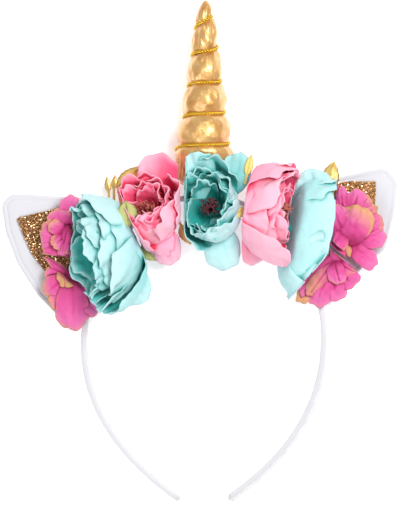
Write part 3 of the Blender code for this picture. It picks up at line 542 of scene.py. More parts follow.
def shut_in(mesh):
    """How far the cloth around each point shuts it in, from 0 to 1, by rays in a fixed pattern."""
    tree = BVHTree.FromPolygons([v.co for v in mesh.vertices], [p.vertices for p in mesh.polygons])
    pattern = []
    for i in range(SHUT_IN_RAYS):
        share, turn = (i + 0.5) / SHUT_IN_RAYS, i * pi * (3 - sqrt(5))
        pattern.append((sqrt(share) * cos(turn), sqrt(share) * sin(turn), sqrt(1 - share)))
    shares = np.zeros(len(mesh.vertices))
    for number, vertex in enumerate(mesh.vertices):
        up = vertex.normal
        side = up.orthogonal().normalized()
        front = up.cross(side)
        start = vertex.co + up * PETAL_THICKNESS / 2
        for a, b, c in pattern:
            found = tree.ray_cast(start, side * a + front * b + up * c, SHUT_IN_REACH)
            if found[0] is not None:
                shares[number] += (1 - found[3] / SHUT_IN_REACH) / SHUT_IN_RAYS
    ends = np.array([tuple(edge.vertices) for edge in mesh.edges])
    for _ in range(2):
        total, count = shares.copy(), np.ones(len(shares))
        for a, b in ((0, 1), (1, 0)):
            np.add.at(total, ends[:, a], shares[ends[:, b]])
            np.add.at(count, ends[:, a], 1)
        shares = total / count
    return shares


def place_piece(name, data, slot, nodes=(), look=None):
    """A piece in its place; its material is the slot's own, unless another look is named."""
    obj = bpy.data.objects.new(name, data)
    bpy.context.scene.collection.objects.link(obj)
    data.materials.append(MATERIALS[look or slot])
    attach(obj, "root")
    if nodes:
        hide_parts(*nodes)
    return obj


def outward_mesh(name, points, faces, sharp=pi, cut=None):
    """A smooth mesh with its faces turned outwards; a function may cut it first."""
    mesh = bpy.data.meshes.new(name)
    mesh.from_pydata([tuple(p) for p in points], [], faces)
    made = bmesh.new()
    made.from_mesh(mesh)
    if cut:
        cut(made)
    bmesh.ops.recalc_face_normals(made, faces=made.faces)
    made.to_mesh(mesh)
    made.free()
    mesh.shade_smooth()
    if sharp < pi:
        mesh.set_sharp_from_angle(angle=sharp)
    return mesh


def ring_faces(rings, around, start=0):
    """Faces between closed rings of points that follow each other."""
    faces = []
    for i in range(rings - 1):
        for k in range(around):
            a, b = start + i * around + k, start + i * around + (k + 1) % around
            faces.append((a, b, b + around, a + around))
    return faces


def grid_faces(rows, columns, start=0):
    faces = []
    for i in range(rows - 1):
        for k in range(columns - 1):
            a = start + i * columns + k
            faces.append((a, a + 1, a + columns + 1, a + columns))
    return faces


def sheet_normals(grid):
    across, along = np.gradient(grid, axis=0), np.gradient(grid, axis=1)
    normal = np.cross(along, across)
    return normal / np.maximum(np.linalg.norm(normal, axis=2, keepdims=True), 1e-9)


def sheet_places(grid):
    """How far each point is along the sheet and away from its middle line, from 0 to 1."""
    rows, columns = grid.shape[:2]
    along = np.linspace(0, 1, columns)[None, :].repeat(rows, axis=0)
    aside = np.abs(np.linspace(-1, 1, rows))[:, None].repeat(columns, axis=1)
    return along, aside


def thick_sheet(grid, thickness, outside, inside):
    """A closed thin sheet about a grid of points, with a colour for each point on each side."""
    rows, columns = grid.shape[:2]
    half = sheet_normals(grid) * thickness / 2
    points = np.concatenate([(grid + half).reshape(-1, 3), (grid - half).reshape(-1, 3)])
    count = rows * columns
    back = [tuple(reversed(face)) for face in grid_faces(rows, columns, count)]
    faces = grid_faces(rows, columns) + back
    rim = [(0, k) for k in range(columns)] + [(i, columns - 1) for i in range(1, rows)]
    rim += [(rows - 1, k) for k in range(columns - 2, -1, -1)] + [(i, 0) for i in range(rows - 2, 0, -1)]
    rim = [i * columns + k for i, k in rim]
    for a, b in zip(rim, rim[1:] + rim[:1]):
        faces.append((b, a, a + count, b + count))
    colours = np.concatenate([outside.reshape(-1, 3), inside.reshape(-1, 3)])
    return points, faces, colours


def tube(path, radius, sides):
    """A round tube along a path, with closed ends; the radius may change along it."""
    path = np.asarray(path)
    radius = np.broadcast_to(radius, len(path))
    along = np.gradient(path, axis=0)
    along /= np.linalg.norm(along, axis=1, keepdims=True)
    side = np.cross(along[0], (0.3, 0.5, 0.8))
    points = []
    for centre, way, r in zip(path, along, radius):
        side = side - way * side.dot(way)
        side /= np.linalg.norm(side)
        up = np.cross(way, side)
        for k in range(sides):
            a = 2 * pi * k / sides
            points.append(centre + (side * cos(a) + up * sin(a)) * r)
    faces = ring_faces(len(path), sides)
    faces.append(tuple(range(sides - 1, -1, -1)))
    faces.append(tuple(range(len(points) - sides, len(points))))
    return np.array(points), faces


# The band


def arch_curve():
    """The band's centre line from the right tip to the crown, as many short steps."""
    steps = ARCH_STEPS
    tip = Vector((BAND_TIP_HALF_GAP, -BAND_CROWN_RISE - BAND_DROP))
    wide = Vector((BAND_HALF_SPAN, -BAND_CROWN_RISE))
    pull = Vector((cos(BAND_TIP_ANGLE), sin(BAND_TIP_ANGLE))) * BAND_TIP_HANDLE
    controls = (tip, tip + pull, wide - Vector((0, BAND_ARM_HANDLE)), wide)
    points = []
    for i in range(steps):
        t = i / steps
        weights = ((1 - t) ** 3, 3 * t * (1 - t) ** 2, 3 * t * t * (1 - t), t**3)
        points.append(sum((w * c for w, c in zip(weights, controls)), Vector((0, 0))))
    for i in range(steps + 1):
        a = pi / 2 * i / steps
        points.append(Vector((BAND_HALF_SPAN * cos(a), BAND_CROWN_RISE * (sin(a) - 1))))
    return points


def arch_points(spans):
    """Even points along the whole centre line from the left tip, with the run to each of them."""
    right = arch_curve()
    whole = [Vector((-p.x, p.y)) for p in right] + list(reversed(right[:-1]))
    reach = [0.0]
    for a, b in zip(whole, whole[1:]):
        reach.append(reach[-1] + (b - a).length)
    found = []
    at = 0
    for i in range(spans + 1):
        wanted = reach[-1] * i / spans
        while at < len(whole) - 2 and reach[at + 1] < wanted:
            at += 1
        share = (wanted - reach[at]) / (reach[at + 1] - reach[at])
        found.append((whole[at].lerp(whole[at + 1], share), wanted, reach[-1]))
    return found


def band_twist(x, y):
    """How far the strip is turned about its own length: the arms turn, the crown doesn't."""
    if x > 0:
        return RIGHT_ARM_TWIST * smoothstep(0.055, 0.105, -y)
    return -LEFT_ARM_TWIST * smoothstep(0.055, 0.100, -y) * (1 - smoothstep(0.10, 0.15, -y))


def band_profile():
    """The wrapped strip's section: flat outside, rounded edges, and the ribbon's seam inside."""
    t, w, corner = BAND_THICKNESS / 2, BAND_WIDTH / 2, BAND_CORNER
    points = []
    corners = ((1, 1, 0), (-1, 1, pi / 2), (-1, -1, pi), (1, -1, 3 * pi / 2))
    for sign_n, sign_w, start in corners:
        for k in range(5):
            a = start + pi / 2 * k / 4
            points.append((sign_n * (t - corner) + corner * cos(a), sign_w * (w - corner) + corner * sin(a)))
        if (sign_n, sign_w) == (-1, 1):
            points += [(-t, 0.0006), (-t + 0.00025, 0.0), (-t - 0.0001, -0.0006)]
    return points


def build_band():
    centres = arch_points(BAND_SPANS)
    profile = band_profile()
    sides = len(profile)
    points = []
    for i, (centre, run, whole) in enumerate(centres):
        before, after = centres[max(0, i - 1)][0], centres[min(BAND_SPANS, i + 1)][0]
        along = (after - before).normalized()
        outward = Vector((-along.y, along.x))
        left = min(run, whole - run)
        size = sqrt(max(0.02, 1 - max(0.0, 1 - left / BAND_TIP_ROUND) ** 2))
        twist = band_twist(centre.x, centre.y)
        turned = [(n * cos(twist) - w * sin(twist), n * sin(twist) + w * cos(twist)) for n, w in profile]
        lift = -min(w for _, w in turned)
        crease = 0.00007 * sin(run * 900 + 2 * sin(run * 300)) + 0.00006 * noise.noise((run * 400, 0, 0))
        for n, w in turned:
            flat = centre + outward * (n * min(1.0, size * 1.2) + crease * (1 if n > 0 else -1))
            points.append((flat.x, flat.y, lift + w * size))
    faces = ring_faces(len(centres), sides)
    faces.append(tuple(range(sides)))
    faces.append(tuple(range(len(points) - sides, len(points))))
    mesh = outward_mesh("satin_band", points, faces, radians(60))
    place_piece("satin_band", mesh, "white_satin", ["headband"])


# The horn


def horn_height(turn, angle):
    """The height along the horn of a point that many turns up, at an angle from the front."""
    level = HORN_LEVELLING * (1 - smoothstep(2.4, 4.2, turn))
    return HORN_FIRST_TURN_Y + HORN_PITCH * (turn - level * sin(angle))


def horn_radius(y, turn, phase):
    """The radius at a height, a turn count, and a phase that is a whole number in the groove."""
    cone = HORN_LOBE_RADIUS - HORN_TAPER * (y - HORN_LOBE_Y)
    radius = HORN_FOOT_RADIUS + (cone - HORN_FOOT_RADIUS) * smoothstep(-0.75, -0.05, turn)
    start = smoothstep(HORN_FIRST_TURN - 0.1, HORN_FIRST_TURN + 0.3, turn)
    end = 1 - smoothstep(HORN_LAST_TURN, HORN_LAST_TURN + 0.5, turn)
    narrow = min(1.0, radius / HORN_LOBE_RADIUS + 0.15)
    radius -= HORN_GROOVE * narrow * start * end * abs(2 * (phase % 1.0) - 1) ** 2.5
    if y > HORN_TIP_ROUND_Y:
        share = min(1.0, (y - HORN_TIP_ROUND_Y) / (HORN_TIP_Y - HORN_TIP_ROUND_Y))
        radius *= sqrt(1 - share**2.2)
    return radius


def horn_puckers(turn, phase, angle):
    """Gathers where the cloth is drawn in by the cord, and soft dents in the stuffing."""
    near = abs(2 * (phase % 1.0) - 1) ** 3
    gathers = 0.00016 * near * sin(46 * angle + 5 * sin(9 * turn)) * smoothstep(-0.6, 0.2, turn)
    crimps = 0.00030 * sin(30 * angle + 2 * sin(4 * turn)) * (1 - smoothstep(-0.9, -0.1, turn))
    dents = 0.0007 * noise.noise((3 * cos(angle), 3 * sin(angle), 3 * turn))
    return (gathers + crimps + dents) * (1 - smoothstep(3.9, 4.5, turn))


def horn_section(y):
    """The horn's axis height and how deep it is, as a share of its width, at a distance along it."""
    full = smoothstep(HORN_BASE_Y - 0.006, HORN_FOOT_END_Y, y)
    foot = HORN_FOOT_DEPTH / 2 / HORN_FOOT_RADIUS
    middle = HORN_AXIS_HEIGHT * full + (HORN_FOOT_DEPTH / 2 + HORN_FOOT_LIFT) * (1 - full)
    return middle, foot + (1 - foot) * full


def horn_point(radius, y, angle):
    share = (y - HORN_BASE_Y) / (HORN_TIP_Y - HORN_BASE_Y)
    x = HORN_BASE_X + (HORN_TIP_X - HORN_BASE_X) * share
    middle, depth = horn_section(y)
    return Vector((x + radius * sin(angle), y, middle + radius * depth * cos(angle)))


def cut_foot(made):
    """Cut the horn off at its foot and close it there."""
    bmesh.ops.bisect_plane(
        made,
        geom=made.verts[:] + made.edges[:] + made.faces[:],
        dist=1e-6,
        plane_co=(0, HORN_BASE_Y, 0),
        plane_no=(0, 1, 0),
        clear_inner=True,
    )
    bmesh.ops.delete(made, geom=[v for v in made.verts if not v.link_faces], context="VERTS")
    bmesh.ops.dissolve_degenerate(made, dist=2e-6, edges=made.edges[:])
    bmesh.ops.holes_fill(made, edges=[e for e in made.edges if e.is_boundary], sides=0)


def build_horn():
    """The horn's grid follows the turns, so a seam joins its last column one turn higher."""
    first = -2 * HORN_ROWS_PER_TURN
    rows = round(HORN_TOP_TURN * HORN_ROWS_PER_TURN) - first
    points = []
    for i in range(HORN_COLUMNS):
        angle = 2 * pi * i / HORN_COLUMNS
        for j in range(rows):
            phase = (first + j) / HORN_ROWS_PER_TURN
            turn = phase + i / HORN_COLUMNS
            y = min(horn_height(turn, angle), HORN_TIP_Y - 0.0004 * (HORN_TOP_TURN + 1 - turn))
            radius = horn_radius(y, turn, phase) + horn_puckers(turn, phase, angle)
            points.append(horn_point(radius, y, angle))
    faces = []
    for i in range(HORN_COLUMNS):
        shift = HORN_ROWS_PER_TURN if i == HORN_COLUMNS - 1 else 0
        here, there = i * rows, (i + 1) % HORN_COLUMNS * rows + shift
        for j in range(rows - 1 - shift):
            faces.append((here + j, there + j, there + j + 1, here + j + 1))
    tip = len(points)
    points.append(Vector((HORN_TIP_X, HORN_TIP_Y, HORN_AXIS_HEIGHT)))
    last = (HORN_COLUMNS - 1) * rows
    rim = [i * rows + rows - 1 for i in range(HORN_COLUMNS - 1)]
    rim += [last + j for j in range(rows - 1, rows - 2 - HORN_ROWS_PER_TURN, -1)]
    for a, b in zip(rim, rim[1:] + rim[:1]):
        faces.append((a, b, tip))
    mesh = outward_mesh("horn_cloth", points, faces, radians(70), cut_foot)
    horn = place_piece("horn_cloth", mesh, "gold_cloth", ["unicorn_horn"])


def build_horn_cord():
    """Two plies twisted about the line of the groove."""
    first, last = round(HORN_FIRST_TURN * CORD_STEPS), round(HORN_LAST_TURN * CORD_STEPS)
    centres, outward = [], []
    for step in range(first, last + 1):
        turn = step / CORD_STEPS
        angle = 2 * pi * turn
        y = horn_height(turn, angle)
        radius = horn_radius(y, turn, 0.0) + CORD_SEAT
        centres.append(horn_point(radius, y, angle))
        outward.append((sin(angle), 0, cos(angle)))
    centres, outward = np.array(centres), np.array(outward)
    along = np.gradient(centres, axis=0)
    step_length = np.linalg.norm(along, axis=1)
    along /= step_length[:, None]
    beside = np.cross(along, outward)
    twist = 2 * pi * np.cumsum(step_length) / CORD_TWIST
    shape = Shape()
    for start in (0, pi):
        a = twist + start
        offset = outward * np.cos(a)[:, None] + beside * np.sin(a)[:, None]
        points, faces = tube(centres + offset * CORD_RADIUS * 0.58, CORD_RADIUS * 0.46, PLY_SIDES)
        middles = centres.repeat(PLY_SIDES, axis=0)
        away = np.linalg.norm(points - middles, axis=1) / CORD_RADIUS
        # Painted shade and highlight: each ply is darker where it turns in to the other and brighter on its
        # outside.
        shape.add(points, faces, blend(CORD_SHADED, CORD_LIT, smoothstep(0.45, 0.98, away)))
    shape.make("twisted_cord", "gold_cord", ["horn_cord"])


# The ears and their glitter panels


def rounded_outline(rows, steps=6):
    """A closed outline through the corners given, each rounded by an arc of its own radius."""
    corners = [(Vector((x, y)) / 1000, r / 1000) for x, y, r in rows]
    outline = []
    for i, (corner, radius) in enumerate(corners):
        if radius == 0:
            outline.append(corner)
            continue
        back = (corners[i - 1][0] - corner).normalized()
        on = (corners[(i + 1) % len(corners)][0] - corner).normalized()
        half = back.angle(on) / 2
        run = radius / tan(half)
        start, end = corner + back * run, corner + on * run
        for k in range(steps + 1):
            t = k / steps
            outline.append((1 - t) ** 2 * start + 2 * t * (1 - t) * corner + t * t * end)
    return outline


def beside_band(away, side, first_y, last_y, steps=12):
    """Points beside the band's outer face on one side, from one height to another."""
    points = []
    for i in range(steps + 1):
        y = first_y + (last_y - first_y) * i / steps
        a = asin(min(1.0, 1 + y / BAND_CROWN_RISE))
        flat = Vector((BAND_HALF_SPAN * cos(a), BAND_CROWN_RISE * (sin(a) - 1)))
        normal = Vector((cos(a) / BAND_HALF_SPAN, sin(a) / BAND_CROWN_RISE)).normalized()
        point = flat + normal * away
        points.append(Vector((point.x * side, point.y)))
    return points


def even_outline(outline, spacing):
    """The same closed outline with evenly spaced points, and the inward direction at each."""
    closed = np.array([tuple(p) for p in outline] + [tuple(outline[0])])
    steps = np.linalg.norm(np.diff(closed, axis=0), axis=1)
    reach = np.concatenate([[0], np.cumsum(steps)])
    wanted = np.linspace(0, reach[-1], round(reach[-1] / spacing), endpoint=False)
    points = np.stack([np.interp(wanted, reach, closed[:, axis]) for axis in (0, 1)], axis=1)
    along = np.roll(points, -1, axis=0) - np.roll(points, 1, axis=0)
    along /= np.linalg.norm(along, axis=1, keepdims=True)
    inward = np.stack([-along[:, 1], along[:, 0]], axis=1)
    middle = points.mean(axis=0)
    if ((middle - points) * inward).sum() < 0:
        inward = -inward
    return points, inward


EAR_SECTION = (
    # distance in from the edge, half thickness: millimetres, with the hem's seam at 2.4
    (0.0, 0.35),
    (0.25, 0.95),
    (0.8, 1.35),
    (1.6, 1.45),
    (2.1, 1.30),
    (2.4, 0.95),
    (2.7, 1.30),
    (3.4, 1.70),
    (4.6, 2.05),
)
EAR_SPACING = 0.0012  # between points along the outline
EAR_INNER_SHARES = (0.12, 0.26, 0.42, 0.60, 0.78, 0.92)  # of the way to the middle
EAR_MIDDLE_RISE = 0.00025
EAR_MIDDLE_HALF = 0.0022


def build_ear(name, outline):
    """Padded felt, two layers sewn together near the edge."""
    points, inward = even_outline(outline, EAR_SPACING)
    count = len(points)
    middle = points.mean(axis=0)
    rings = [(points + inward * d / 1000, half / 1000) for d, half in EAR_SECTION]
    inner, half = rings[-1]
    for share in EAR_INNER_SHARES:
        rise = EAR_MIDDLE_RISE * smoothstep(0, 0.6, share)
        rings.append((inner + (middle - inner) * share, half + rise))
    level = EAR_BOTTOM + EAR_THICKNESS / 2
    all_points = []
    for sign in (1, -1):
        for ring, half in rings:
            for x, y in ring:
                lump = 0.25 * half * noise.noise((x * 90, y * 90, sign * 3.0))
                all_points.append((x, y, level + sign * (half - abs(lump))))
        all_points.append((*middle, level + sign * EAR_MIDDLE_HALF))
    per_side = len(rings) * count + 1
    faces = []
    for side in range(2):
        start = side * per_side
        faces += ring_faces(len(rings), count, start)
        last = start + (len(rings) - 1) * count
        for k in range(count):
            faces.append((last + k, last + (k + 1) % count, start + per_side - 1))
    for k in range(count):
        faces.append((k, (k + 1) % count, per_side + (k + 1) % count, per_side + k))
    mesh = outward_mesh(name + "_felt", all_points, faces)
    ear = place_piece(name + "_felt", mesh, "white_felt", [name])


GLITTER_COLOURS = (
    linear(222, 184, 132),
    linear(196, 150, 96),
    linear(160, 112, 66),
    linear(238, 214, 176),
    linear(120, 78, 44),
    linear(205, 140, 100),
)
FLAKE_SPACING = 0.00052
FLAKE_THICKNESS = 0.00006
PANEL_THICKNESS = 0.00075


def inside(outline, x, y):
    found = False
    for (ax, ay), (bx, by) in zip(outline, outline[1:] + outline[:1]):
        if (ay > y) != (by > y) and x < ax + (bx - ax) * (y - ay) / (by - ay):
            found = not found
    return found


def build_panel(name, rows, seed):
    """A thin backing, covered in glitter: small bright flakes that lie every way."""
    draw = random.Random(seed)
    outline = [tuple(p) for p in rounded_outline(rows)]
    bottom = EAR_BOTTOM + EAR_THICKNESS + GAP
    top = bottom + PANEL_THICKNESS
    shape = Shape()
    count = len(outline)
    backing = [(x, y, bottom) for x, y in outline] + [(x, y, top) for x, y in outline]
    faces = [tuple(range(count - 1, -1, -1)), tuple(range(count, 2 * count))]
    shape.add(backing, faces + ring_faces(2, count), GLITTER_COLOURS[2])
    sides = [tuple(reversed(face)) for face in ring_faces(2, 6)]
    faces = [tuple(range(6)), tuple(range(11, 5, -1)), *sides]
    xs, ys = [x for x, _ in outline], [y for _, y in outline]
    row = 0
    y = min(ys)
    while y < max(ys):
        x = min(xs) + (row % 2) * FLAKE_SPACING / 2
        while x < max(xs):
            cx = x + draw.uniform(-0.4, 0.4) * FLAKE_SPACING
            cy = y + draw.uniform(-0.4, 0.4) * FLAKE_SPACING
            x += FLAKE_SPACING
            if not inside(outline, cx, cy):
                continue
            size = draw.uniform(0.22, 0.42) / 1000
            lean = Vector((draw.gauss(0, 0.42), draw.gauss(0, 0.42), 1)).normalized()
            side = lean.orthogonal().normalized()
            up = lean.cross(side)
            centre = Vector((cx, cy, top + draw.uniform(0.02, 0.2) / 1000))
            turn = draw.uniform(0, pi)
            corners = [turn + k * pi / 3 for k in range(6)]
            ring = [centre + (side * cos(a) + up * sin(a)) * size for a in corners]
            base = [p - lean * FLAKE_THICKNESS for p in ring]
            shape.add([tuple(p) for p in ring + base], faces, draw.choice(GLITTER_COLOURS))
        y += FLAKE_SPACING * 0.87
        row += 1
    shape.make(name + "_flakes", "gold_glitter", [name], smooth=False)


# The flowers


def petal_floor(points):
    """The lowest a petal's middle surface can be: over the band, and over the horn's sewn end."""
    x, y = points[:, 0], points[:, 1]
    middle, depth = horn_section(y)
    share = np.abs(x - HORN_BASE_X) / (HORN_FOOT_RADIUS + 0.0006)
    rise = np.where(share < 0.8, np.sqrt(np.maximum(0, 1 - share**2)), 0.6 - 1.333 * (share - 0.8))
    over = middle + (HORN_FOOT_RADIUS + 0.0004) * depth * rise + CLEARANCE + 0.0004
    low = SEAT + (over - SEAT) * smoothstep(-0.004, 0.0015, y)
    return np.where(y > -0.004, np.maximum(low, SEAT), SEAT)


def pressed(points, planes, layer):
    """Move points off the neighbours' planes and up from what lies below, gently."""
    for start, direction in planes:
        depth = (points - start) @ direction - CLEARANCE - layer
        give = SOFTNESS * np.exp(np.minimum(0.0, depth / SOFTNESS - 1)) - depth
        points = points + np.where(depth < SOFTNESS, give, 0.0)[:, None] * direction
    low = petal_floor(points) + layer
    depth = points[:, 2] - low
    height = low + SOFTNESS * np.exp(np.minimum(0.0, depth / SOFTNESS - 1))
    points = points.copy()
    points[:, 2] = np.where(depth < SOFTNESS, height, points[:, 2])
    return points


def neighbour_planes(name):
    planes = []
    for first, second, x, y, z, nx, ny, nz in BETWEEN:
        start, direction = np.array((x, y, z)) / 1000, np.array((nx, ny, nz))
        direction = direction / np.linalg.norm(direction)
        if name == first:
            planes.append((start, -direction))
        elif name == second:
            planes.append((start, direction))
    return planes


def flower_frame(row):
    """The flower's own directions: along its axis, sideways and to the front."""
    axis = Vector(row[4:7]).normalized()
    facing = Vector((0, 1, 0)) if axis.z > 0.6 else Vector((0, 0, 1))
    front = (facing - axis * facing.dot(axis)).normalized()
    base = Vector(row[1:4]) / 1000
    return tuple(np.array(v) for v in (base, axis, front.cross(axis) * row[7], front * row[8]))


def ring_petal(name, flower, ring, number):
    """One petal of a ring: a patch of a bowl that opens along the flower's axis."""
    base, axis, side, front = flower
    count, first, root, height, full, width, rise, rim, ease, tuck, ruffle, short = ring
    turn = radians(first + 360 * number / count)
    vary = sin(number * 2.4 + first)
    length = full * (1 + 0.05 * vary - short * max(0.0, sin(turn))) / 1000
    for towards, shorter, closed in SIDES[name]:
        near = max(0.0, cos(turn - radians(towards)))
        length *= 1 - shorter * near
        rim -= closed * near * (full / 40) ** 2
    u = np.linspace(-1, 1, PETAL_ACROSS + 1)
    reach = (1 - 0.22 * np.abs(u) ** 2.5) * (1 + 0.03 * np.sin(7 * u + 3 * vary + number))
    reach = reach + 0.014 * np.sin(19 * u + 5 * vary + 2 * number)
    radius, up = np.full_like(u, root / 1000), np.full_like(u, height / 1000)
    columns = []
    for k in range(PETAL_ALONG + 1):
        s = reach * k / PETAL_ALONG
        swell = 0.45 + 0.55 * np.sin(pi / 2 * np.minimum(1.0, s * 1.7))
        spread = np.minimum(1.25, width / 2000 * swell / np.maximum(radius, 0.004))
        angle = turn + u * spread
        out = tuck * u * np.minimum(1.0, s * 2) + ruffle * np.sin(5 * u + 7 * s + number) * s * s
        out = out + 0.55 * ruffle * np.sin(13 * u + 5 * s + 2 * number) * smoothstep(0.6, 1.0, s)
        out = out + RIM_CURL * (0.7 + 0.5 * np.sin(6 * u + 3 * number)) * smoothstep(0.76, 1.05, s) ** 2
        r = radius + out / 1000
        around = side * (r * np.cos(angle))[:, None] + front * (r * np.sin(angle))[:, None]
        columns.append(base + axis * up[:, None] + around)
        lean = np.radians(rise + (rim + 6 * vary - rise) * (s + reach / PETAL_ALONG / 2) ** ease)
        radius = radius + np.sin(lean) * length * reach / PETAL_ALONG
        up = up + np.cos(lean) * length * reach / PETAL_ALONG
    return np.stack(columns, axis=1)


def single_petal(row):
    """One petal from its root to its tip, arched outwards and cupped along its length."""
    x0, y0, z0, x1, y1, z1, width, bulge, cup, ruffle = row[:10]
    root, tip = Vector((x0, y0, z0)) / 1000, Vector((x1, y1, z1)) / 1000
    way = tip - root
    side = way.cross(Vector((0, 0, 1))).normalized()
    out = np.array(side.cross(way).normalized())
    root, way, side = np.array(root), np.array(way), np.array(side)
    u = np.linspace(-1, 1, PETAL_ACROSS + 1)
    reach = (1 - 0.24 * np.abs(u) ** 2.5) * (1 + 0.02 * np.sin(7 * u + x1))
    columns = []
    for k in range(PETAL_ALONG + 1):
        t = reach * k / PETAL_ALONG
        half = width / 2000 * (0.24 + 0.76 * np.sin(pi / 2 * np.minimum(1.0, t * 1.7)))
        rise = 4 * bulge * t * (1 - t) - cup * u * u * np.minimum(1.0, t * 1.5)
        rise = rise + ruffle * np.sin(4 * u + 6 * t + x1) * t * t
        rise = rise + 0.5 * ruffle * np.sin(12 * u + 4 * t + y1) * smoothstep(0.5, 1.0, t)
        rise = rise - FOLD_DEPTH * np.exp(-((u * 7) ** 2)) * np.sin(pi * np.minimum(1.0, t))
        along = root + way * t[:, None] + side * (u * half)[:, None] + out * (rise / 1000)[:, None]
        columns.append(along)
    return np.stack(columns, axis=1)


def crumpled(grid, amount, seed):
    """Soft folds and small creases in the cloth, more towards the rim."""
    rows, columns = grid.shape[:2]
    push = np.zeros((rows, columns, 1))
    for i in range(rows):
        for k in range(columns):
            at = Vector(grid[i, k])
            push[i, k] = (
                noise.noise(at * 95 + Vector((seed, 0, 0)))
                + 0.55 * noise.noise(at * 260 + Vector((0, seed, 0)))
                - 0.9 * abs(noise.noise(at * 170 + Vector((0, 0, seed))))
                + 0.2 * noise.noise(at * 600 + Vector((0, 0, seed)))
            )
    more = np.linspace(0.3, 1.0, columns)[None, :, None]
    return grid + sheet_normals(grid) * push * amount * more


def petal_colours(cloth, grid, inner, vary, shaded_side=0.0):
    """Colours of both sides: pale outside and at the rim, deep inside and towards the root, partly dye and
    partly painted shade and highlight.
    """
    pale, middle, deep = CLOTHS[cloth]
    t, u = sheet_places(grid)
    # Paler rim: partly the cloth's own fading and partly painted highlight.
    edge = np.maximum(smoothstep(0.86, 1.0, t), smoothstep(0.88, 1.0, u) * t)
    # Outside: deeper towards the root and on inner rings, partly the dye and partly painted shade where
    # outer petals cover it.
    outside = blend(middle, pale, np.clip(0.15 + 0.85 * t + 0.2 * vary - 0.15 * inner, 0, 1))
    # Painted shade: one side of the petal is darkened towards the deep colour, less at the rim.
    across = smoothstep(-0.1, 0.9, np.linspace(0, 1, len(grid)))[:, None]
    outside = blend(outside, deep, shaded_side * across * (1 - 0.5 * edge))
    # Inside: deep at the root and on inner rings, fading towards the rim, partly the dye and partly painted
    # shade.
    body = blend(middle, deep, np.clip(1.45 - 1.1 * t + 0.3 * inner, 0, 1))
    return outside, blend(body, pale, np.clip(edge * 0.7, 0, 1))


def add_petal(shape, grid, planes, layer, colours, outwards):
    """Press a petal to its place and add it, with its outside facing the way given."""
    rows, columns = grid.shape[:2]
    middle = rows // 2, columns // 2
    if sheet_normals(grid)[middle].dot(outwards(grid[middle])) < 0:
        colours = reversed(colours)
    grid = pressed(grid.reshape(-1, 3), planes, layer).reshape(grid.shape)
    shape.add(*thick_sheet(grid, PETAL_THICKNESS, *colours))


def add_core(shape, centre, radius, colour):
    """The knob that the petals are glued to, deep inside."""
    rings, around = 8, 14
    points = [centre - np.array((0, 0, radius))]
    for i in range(1, rings):
        a = pi * i / rings
        for k in range(around):
            b = 2 * pi * k / around
            points.append(centre + radius * np.array((sin(a) * cos(b), sin(a) * sin(b), -cos(a))))
    points.append(centre + np.array((0, 0, radius)))
    faces = ring_faces(rings - 1, around, 1)
    last = 1 + (rings - 2) * around
    for k in range(around):
        on = (k + 1) % around
        faces += [(0, 1 + on, 1 + k), (len(points) - 1, last + k, last + on)]
    shape.add(points, faces, colour)


def build_flower(row):
    name = row[0]
    cloth = "teal" if "teal" in name else "pink"
    deep = CLOTHS[cloth][2]
    flower = flower_frame(row)
    base, axis = flower[:2]
    planes = neighbour_planes(name)
    shape = Shape()
    add_core(shape, base + axis * row[10] / 1000, row[9] / 1000, deep)

    def from_axis(point):
        away = point - base - axis * (point - base).dot(axis)
        return away + 0.3 * np.linalg.norm(away) * -axis

    count = 0
    for depth, ring in enumerate(RINGS[name]):
        for number in range(ring[0]):
            grid = crumpled(ring_petal(name, flower, ring, number), RING_CRUMPLE, count)
            colours = petal_colours(cloth, grid, depth / len(RINGS[name]), sin(count * 1.7))
            layer = LAYER_STEP * (1 + 1.2 * depth + 0.25 * number)
            add_petal(shape, grid, planes, layer, colours, from_axis)
            count += 1
    for petal in PETALS[name]:
        grid = crumpled(single_petal(petal), PETAL_CRUMPLE, count)
        # The last value of a petal's row sets its painted shade over one side.
        colours = petal_colours(cloth, grid, 0.0, sin(count * 1.7), petal[-1])
        add_petal(shape, grid, planes, LAYER_STEP * (1 + count % 3), colours, lambda point: UP)
        count += 1
    shape.make(name + "_petals", cloth + "_cloth", [name], deep=deep)


def bloom_colours(grid, gilt):
    """Magenta, with gold brushed along the edges, over the tip, or over the whole petal."""
    pale, middle, deep = CLOTHS["magenta"]
    t, u = sheet_places(grid)
    body = blend(deep, middle, smoothstep(0.0, 0.5, t))
    body = blend(body, pale, smoothstep(0.45, 1.0, t) * 0.8)
    rim = np.maximum(smoothstep(0.90, 1.0, t), smoothstep(0.84, 1.0, u) * smoothstep(0.2, 0.6, t))
    lean = np.linspace(-0.18, 0.18, len(grid))[:, None]
    tip = smoothstep(1.15 - 0.75 * gilt, 1.55 - 0.45 * gilt, t + lean)
    gold = blend(body, BLOOM_GOLD, np.clip(rim * min(1.0, 0.25 + gilt) + tip, 0, 1) * 0.92)
    return gold, blend(gold, middle, 0.3 + 0 * t)


def build_bloom(row):
    name, x, y, z, radius = row
    deep = CLOTHS["magenta"][2]
    planes = neighbour_planes(name)
    shape = Shape()
    add_core(shape, np.array((x, y, z)) / 1000, radius / 1000, deep)
    for number, petal in enumerate(BLOOM_PETALS[name]):
        grid = crumpled(single_petal(petal), BLOOM_CRUMPLE, number + x)
        layer = LAYER_STEP * (1 + number % LAYERS)
        add_petal(shape, grid, planes, layer, bloom_colours(grid, petal[-1]), lambda point: UP)
    shape.make(name + "_petals", "magenta_satin", [name], deep=deep)


